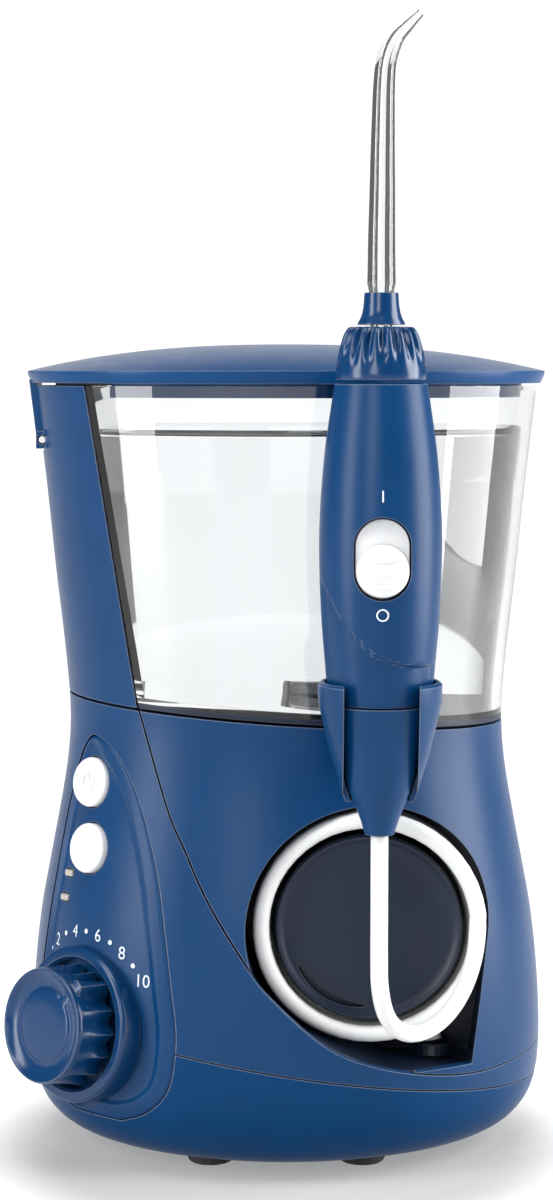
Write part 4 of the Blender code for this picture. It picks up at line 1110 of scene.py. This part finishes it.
crown = [(LID_HALF_WIDTH * share, LID_CREST_Z - (LID_CREST_Z - LID_RIM_Z) * share ** 2.4)
         for share in (i / 24 for i in range(25))]
rim = [(LID_HALF_WIDTH, LID_RIM_Z - 0.8), (LID_HALF_WIDTH - 0.9, LID_UNDER_Z)]
SKIRT_END_X, SKIRT_LOW_Z = -38.0, 171.2
skirt = [(53.8, LID_UNDER_Z), (53.6, SKIRT_LOW_Z), (52.2, SKIRT_LOW_Z), (52.3, LID_UNDER_Z + 0.6)]
ceiling = [(40.0, 176.6), (20.0, 178.6), (0.0, 179.4)]
lid = place(turned("lid", crown + rim + skirt + ceiling, BODY_SEGMENTS, DEPTH_RATIO), (0, 0, 0))
skirt_trim = block("skirt_trim", (60.0, 120.0, 20.0))
trim(lid, place(skirt_trim, (SKIRT_END_X - 30.0, 0, LID_UNDER_Z - 9.9)))
strap = block("strap", (1.6, 2 * STRAP_HALF_WIDTH, 14.2))
place(strap, (HINGE_X - 1.6, 0, HINGE_Z + 6.6), Matrix.Rotation(-STRAP_LEAN, 4, "Y"))
trim(lid, strap, "UNION")
barrel = rod("barrel", HINGE_BARREL_R, -STRAP_HALF_WIDTH, STRAP_HALF_WIDTH)
trim(lid, place(barrel, (HINGE_X, 0, HINGE_Z), FACING_FRONT), "UNION")
trim(lid, place(rod("bore", HINGE_PIN_R + GAP, -12, 12), (HINGE_X, 0, HINGE_Z), FACING_FRONT))
fit_out(lid, "lid_shell", "lid_body", "lid_blue", "lid")

# %% Seal pad under the lid, over the column
seal = oval("seal", 2.4, TANK_TOP_Z + 0.12, LID_UNDER_Z + 0.3)
trim(seal, place(block("seal_limit", (120.0, 120.0, 20.0)), (SKIRT_END_X + 60.0, 0, TANK_TOP_Z)))
trim(seal, place(block("pin_side", (20.0, 120.0, 20.0)), (HINGE_X - 6.5, 0, TANK_TOP_Z)))
fit_out(seal, "lid_seal", "lid_body", "rubber")

# %% [markdown]
# ## Handle
# The barrel is a slim bottle shape. Dense rings let a shallow step be pressed into it along a
# curved line, which is where the two mouldings of the real grip meet. A slot
# in the front shows the white plate that the switch slides on.

# %% Barrel
HANDLE_WALL = 1.8
SWITCH_LOW_Z, SWITCH_HIGH_Z, SWITCH_OFF_Z = 130.3, 147.3, 136.4
SWITCH_SLOT_R, SWITCH_R = 5.85, 5.4
STEP_LINE = ((-14.0, 140.5), (-12.6, 134.0), (-8.0, 125.0), (-2.0, 119.4), (5.0, 116.9),
             (14.0, 116.2))
STEP_DEPTH, STEP_WIDTH = 0.8, 0.4


def stadium(radius, steps=24):
    low, high = SWITCH_LOW_Z + SWITCH_SLOT_R, SWITCH_HIGH_Z - SWITCH_SLOT_R
    turn = [pi * i / steps for i in range(steps + 1)]
    top = [(radius * cos(a), high + radius * sin(a)) for a in turn]
    return top + [(-radius * cos(a), low - radius * sin(a)) for a in turn]


def step_height(x):
    """Height of the step line over a place across the front."""
    for (x0, z0), (x1, z1) in zip(STEP_LINE, STEP_LINE[1:]):
        if x0 <= x <= x1:
            share = (x - x0) / (x1 - x0)
            return z0 + (z1 - z0) * share
    return STEP_LINE[0][1] if x < STEP_LINE[0][0] else STEP_LINE[-1][1]


side_line = [(p.x, p.y) for p in smooth_line([(r, z, 0.0) for z, r in HANDLE_OUTLINE], 16)]
inner_line = [(r - HANDLE_WALL, z) for z, r in reversed(HANDLE_OUTLINE[1:])]
barrel = turned("barrel", [(8.9, 174.5)] + side_line[1:] + inner_line
                + [(8.5, 172.0), (3.4, 172.0), (3.4, 174.5)], 144, closed=True)
for vertex in barrel.data.vertices:
    x, y, z = vertex.co / MM
    if y < 0 and sqrt(x * x + y * y) > handle_radius(z) - 0.6:
        below = (step_height(x) - z) / STEP_WIDTH
        press = min(max(below, 0.0), 1.0)
        scale = 1.0 - STEP_DEPTH * press * min(-y / 3.0, 1.0) / sqrt(x * x + y * y)
        vertex.co.x *= scale
        vertex.co.y *= scale
place(barrel, HANDLE)
trim(barrel, place(prism("slot", stadium(SWITCH_SLOT_R), 6.0, 25.0), HANDLE, FACING_FRONT))
fit_out(barrel, "barrel_shell", "handle_body", "navy", "handle_barrel")

# %% Cone, switch plate and switch
cone_line = [(p.x, p.y) for p in smooth_line([(r, z, 0.0) for z, r in CONE_OUTLINE], 8)]
cone_bore = [(max(r - HANDLE_WALL, 1.3), z) for z, r in reversed(CONE_OUTLINE)]
cone = place(turned("cone", cone_line + cone_bore, 96, closed=True), HANDLE)
fit_out(cone, "cone_shell", "handle_body", "navy", "handle_cone")

switch_plate = prism("switch_plate", stadium(SWITCH_SLOT_R - 0.35), 9.4, 10.7)
soften = switch_plate.modifiers.new("Soften", "BEVEL")
soften.width, soften.segments, soften.limit_method = 0.3 * MM, 3, "ANGLE"
bake(place(switch_plate, HANDLE, FACING_FRONT))
fit_out(switch_plate, "slot_plate", "handle_body", "white", "switch_plate")

face = [(SWITCH_R * 0.75 * share, 13.75 - 0.25 * share ** 2)
        for share in (0, 0.3, 0.6, 0.8, 1.0)]
shoulder = [(SWITCH_R * 0.75 + SWITCH_R * 0.25 * sin(a), 12.4 + 1.1 * cos(a))
            for a in (radians(15 * i) for i in range(1, 7))]
switch = turned("switch", face + shoulder + [(SWITCH_R, 11.1), (0.0, 11.1)], 96)
place(switch, HANDLE + Vector((0, 0, SWITCH_OFF_Z)), FACING_FRONT)
fit_out(switch, "switch_cap", "switch_body", "white", "slide_switch")



def ridge_radius(share):
    """Full in the middle of a ridge, and fine at its ends."""
    return 0.55 * sin(pi * share) ** 0.3 + 0.05


ridges = []
for height, reach in ((2.3, 2.9), (-0.5, 3.6), (-3.2, 2.7)):
    line = [HANDLE + Vector((reach * s, -13.85 + 0.1 * s * s, SWITCH_OFF_Z + height + 0.35 * s * s))
            for s in (i / 6 for i in range(-6, 7))]
    ridges.append(swept("ridge", [point + AXIS for point in line], ridge_radius, 12))
fit_out(join_all(ridges, "switch_ridges"), "switch_ridges", "switch_body", "white")

# %% On and off signs on the barrel
def barrel_sign(name, points):
    """A thin raised line that follows the barrel's front."""
    line = []
    for x, z in points:
        reach = handle_radius(z) + 0.02
        line.append(HANDLE + AXIS + Vector((x, -sqrt(reach * reach - x * x), z)))
    return swept(name, line, lambda share: 0.17, 8)


ON_Z, OFF_Z = 151.6, 127.4
circle = [(1.15 * cos(a), OFF_Z + 1.15 * sin(a)) for a in (2 * pi * i / 32 for i in range(33))]
signs = [barrel_sign("on", [(0.0, ON_Z - 1.2 + 0.3 * i) for i in range(9)]),
         barrel_sign("off", circle)]
fit_out(join_all(signs, "switch_signs"), "switch_signs", "handle_body", "white", material=MARKING)

# %% [markdown]
# ## Tip knob and nozzle
# The fluted knob turns the nozzle. Its valleys are cut deep at the top and fade
# out below. The nozzle is a clear tube with a fine bore, bent near its tip,
# and stands in a small glossy bell.

# %% Fluted tip knob
TIP_RINGS = ((186.0, 2.7), (186.0, 6.4), (185.85, 6.8), (185.4, 7.2), (184.7, 7.6), (184.0, 7.9),
             (183.2, 8.15), (182.4, 8.4), (181.6, 8.6), (180.8, 8.8), (180.0, 8.95), (179.2, 9.1),
             (178.4, 9.2), (177.7, 9.3), (177.0, 9.36), (176.4, 9.4), (175.6, 9.4), (175.2, 9.3),
             (175.0, 9.0), (175.0, 2.7))


def tip_depth(z):
    return 1.25 * min(max((z - 177.6) / 5.5, 0.0), 1.0) ** 1.3 if z < 185.95 else 0.9


tip_rings = [(r, z) for z, r in TIP_RINGS]
tip = ribbed("tip", tip_rings[1:-1], tip_depth, 18, steps_per_rib=12, sharp=1.5)
place(tip, HANDLE)
trim(tip, place(rod("tip_bore", 2.7, 170, 190), HANDLE))
fit_out(tip, "tip_knob_body_shell", "tip_knob_body", "navy_gloss", "tip_knob")

# %% Nozzle collar and nozzle
bell = [(3.5, 193.0), (3.62, 191.5), (3.75, 190.0), (4.0, 188.8), (4.35, 187.8), (4.8, 187.0),
        (5.0, 186.4)]
bell_shell = turned("bell", bell + [(3.2, 186.4), (3.2, 193.0)], 72, closed=True)
fit_out(place(bell_shell, HANDLE), "nozzle_bell", "nozzle_body", "navy_gloss", "nozzle_collar")

NOZZLE_ROUTE = [(0, 0, 176.5), (0, 0, 186.0), (0, 0, 196), (0, 0, 205), (0.1, 0, 213),
                (0.15, 0, 221), (0.25, 0, 228), (0.4, 0, 235), (0.9, 0, 240.2), (2.6, 0, 244.6),
                (5.1, 0, 247.4), (7.7, 0, 249.9)]
STEM_END, TUBE_START, TAPER_START = 0.14, 0.17, 0.7


def nozzle_radius(share):
    """Slim stem in the knob, full tube above it, tapering to the tip."""
    if share < STEM_END:
        return 2.3
    if share < TUBE_START:
        return 2.3 + 0.6 * (share - STEM_END) / 0.03
    if share < TAPER_START:
        return 2.95 - 0.8 * (share - TUBE_START) / 0.53
    return 2.15 - 1.15 * ((share - TAPER_START) / 0.3) ** 1.5


nozzle_line = [point + HANDLE + AXIS for point in smooth_line(NOZZLE_ROUTE, 8)]
nozzle = swept("nozzle_tube", nozzle_line, nozzle_radius, 40,
               bore_at=lambda share: max(0.35, nozzle_radius(share) * 0.42))
fit_out(nozzle, "nozzle_tube", "nozzle_body", "clear", "nozzle")
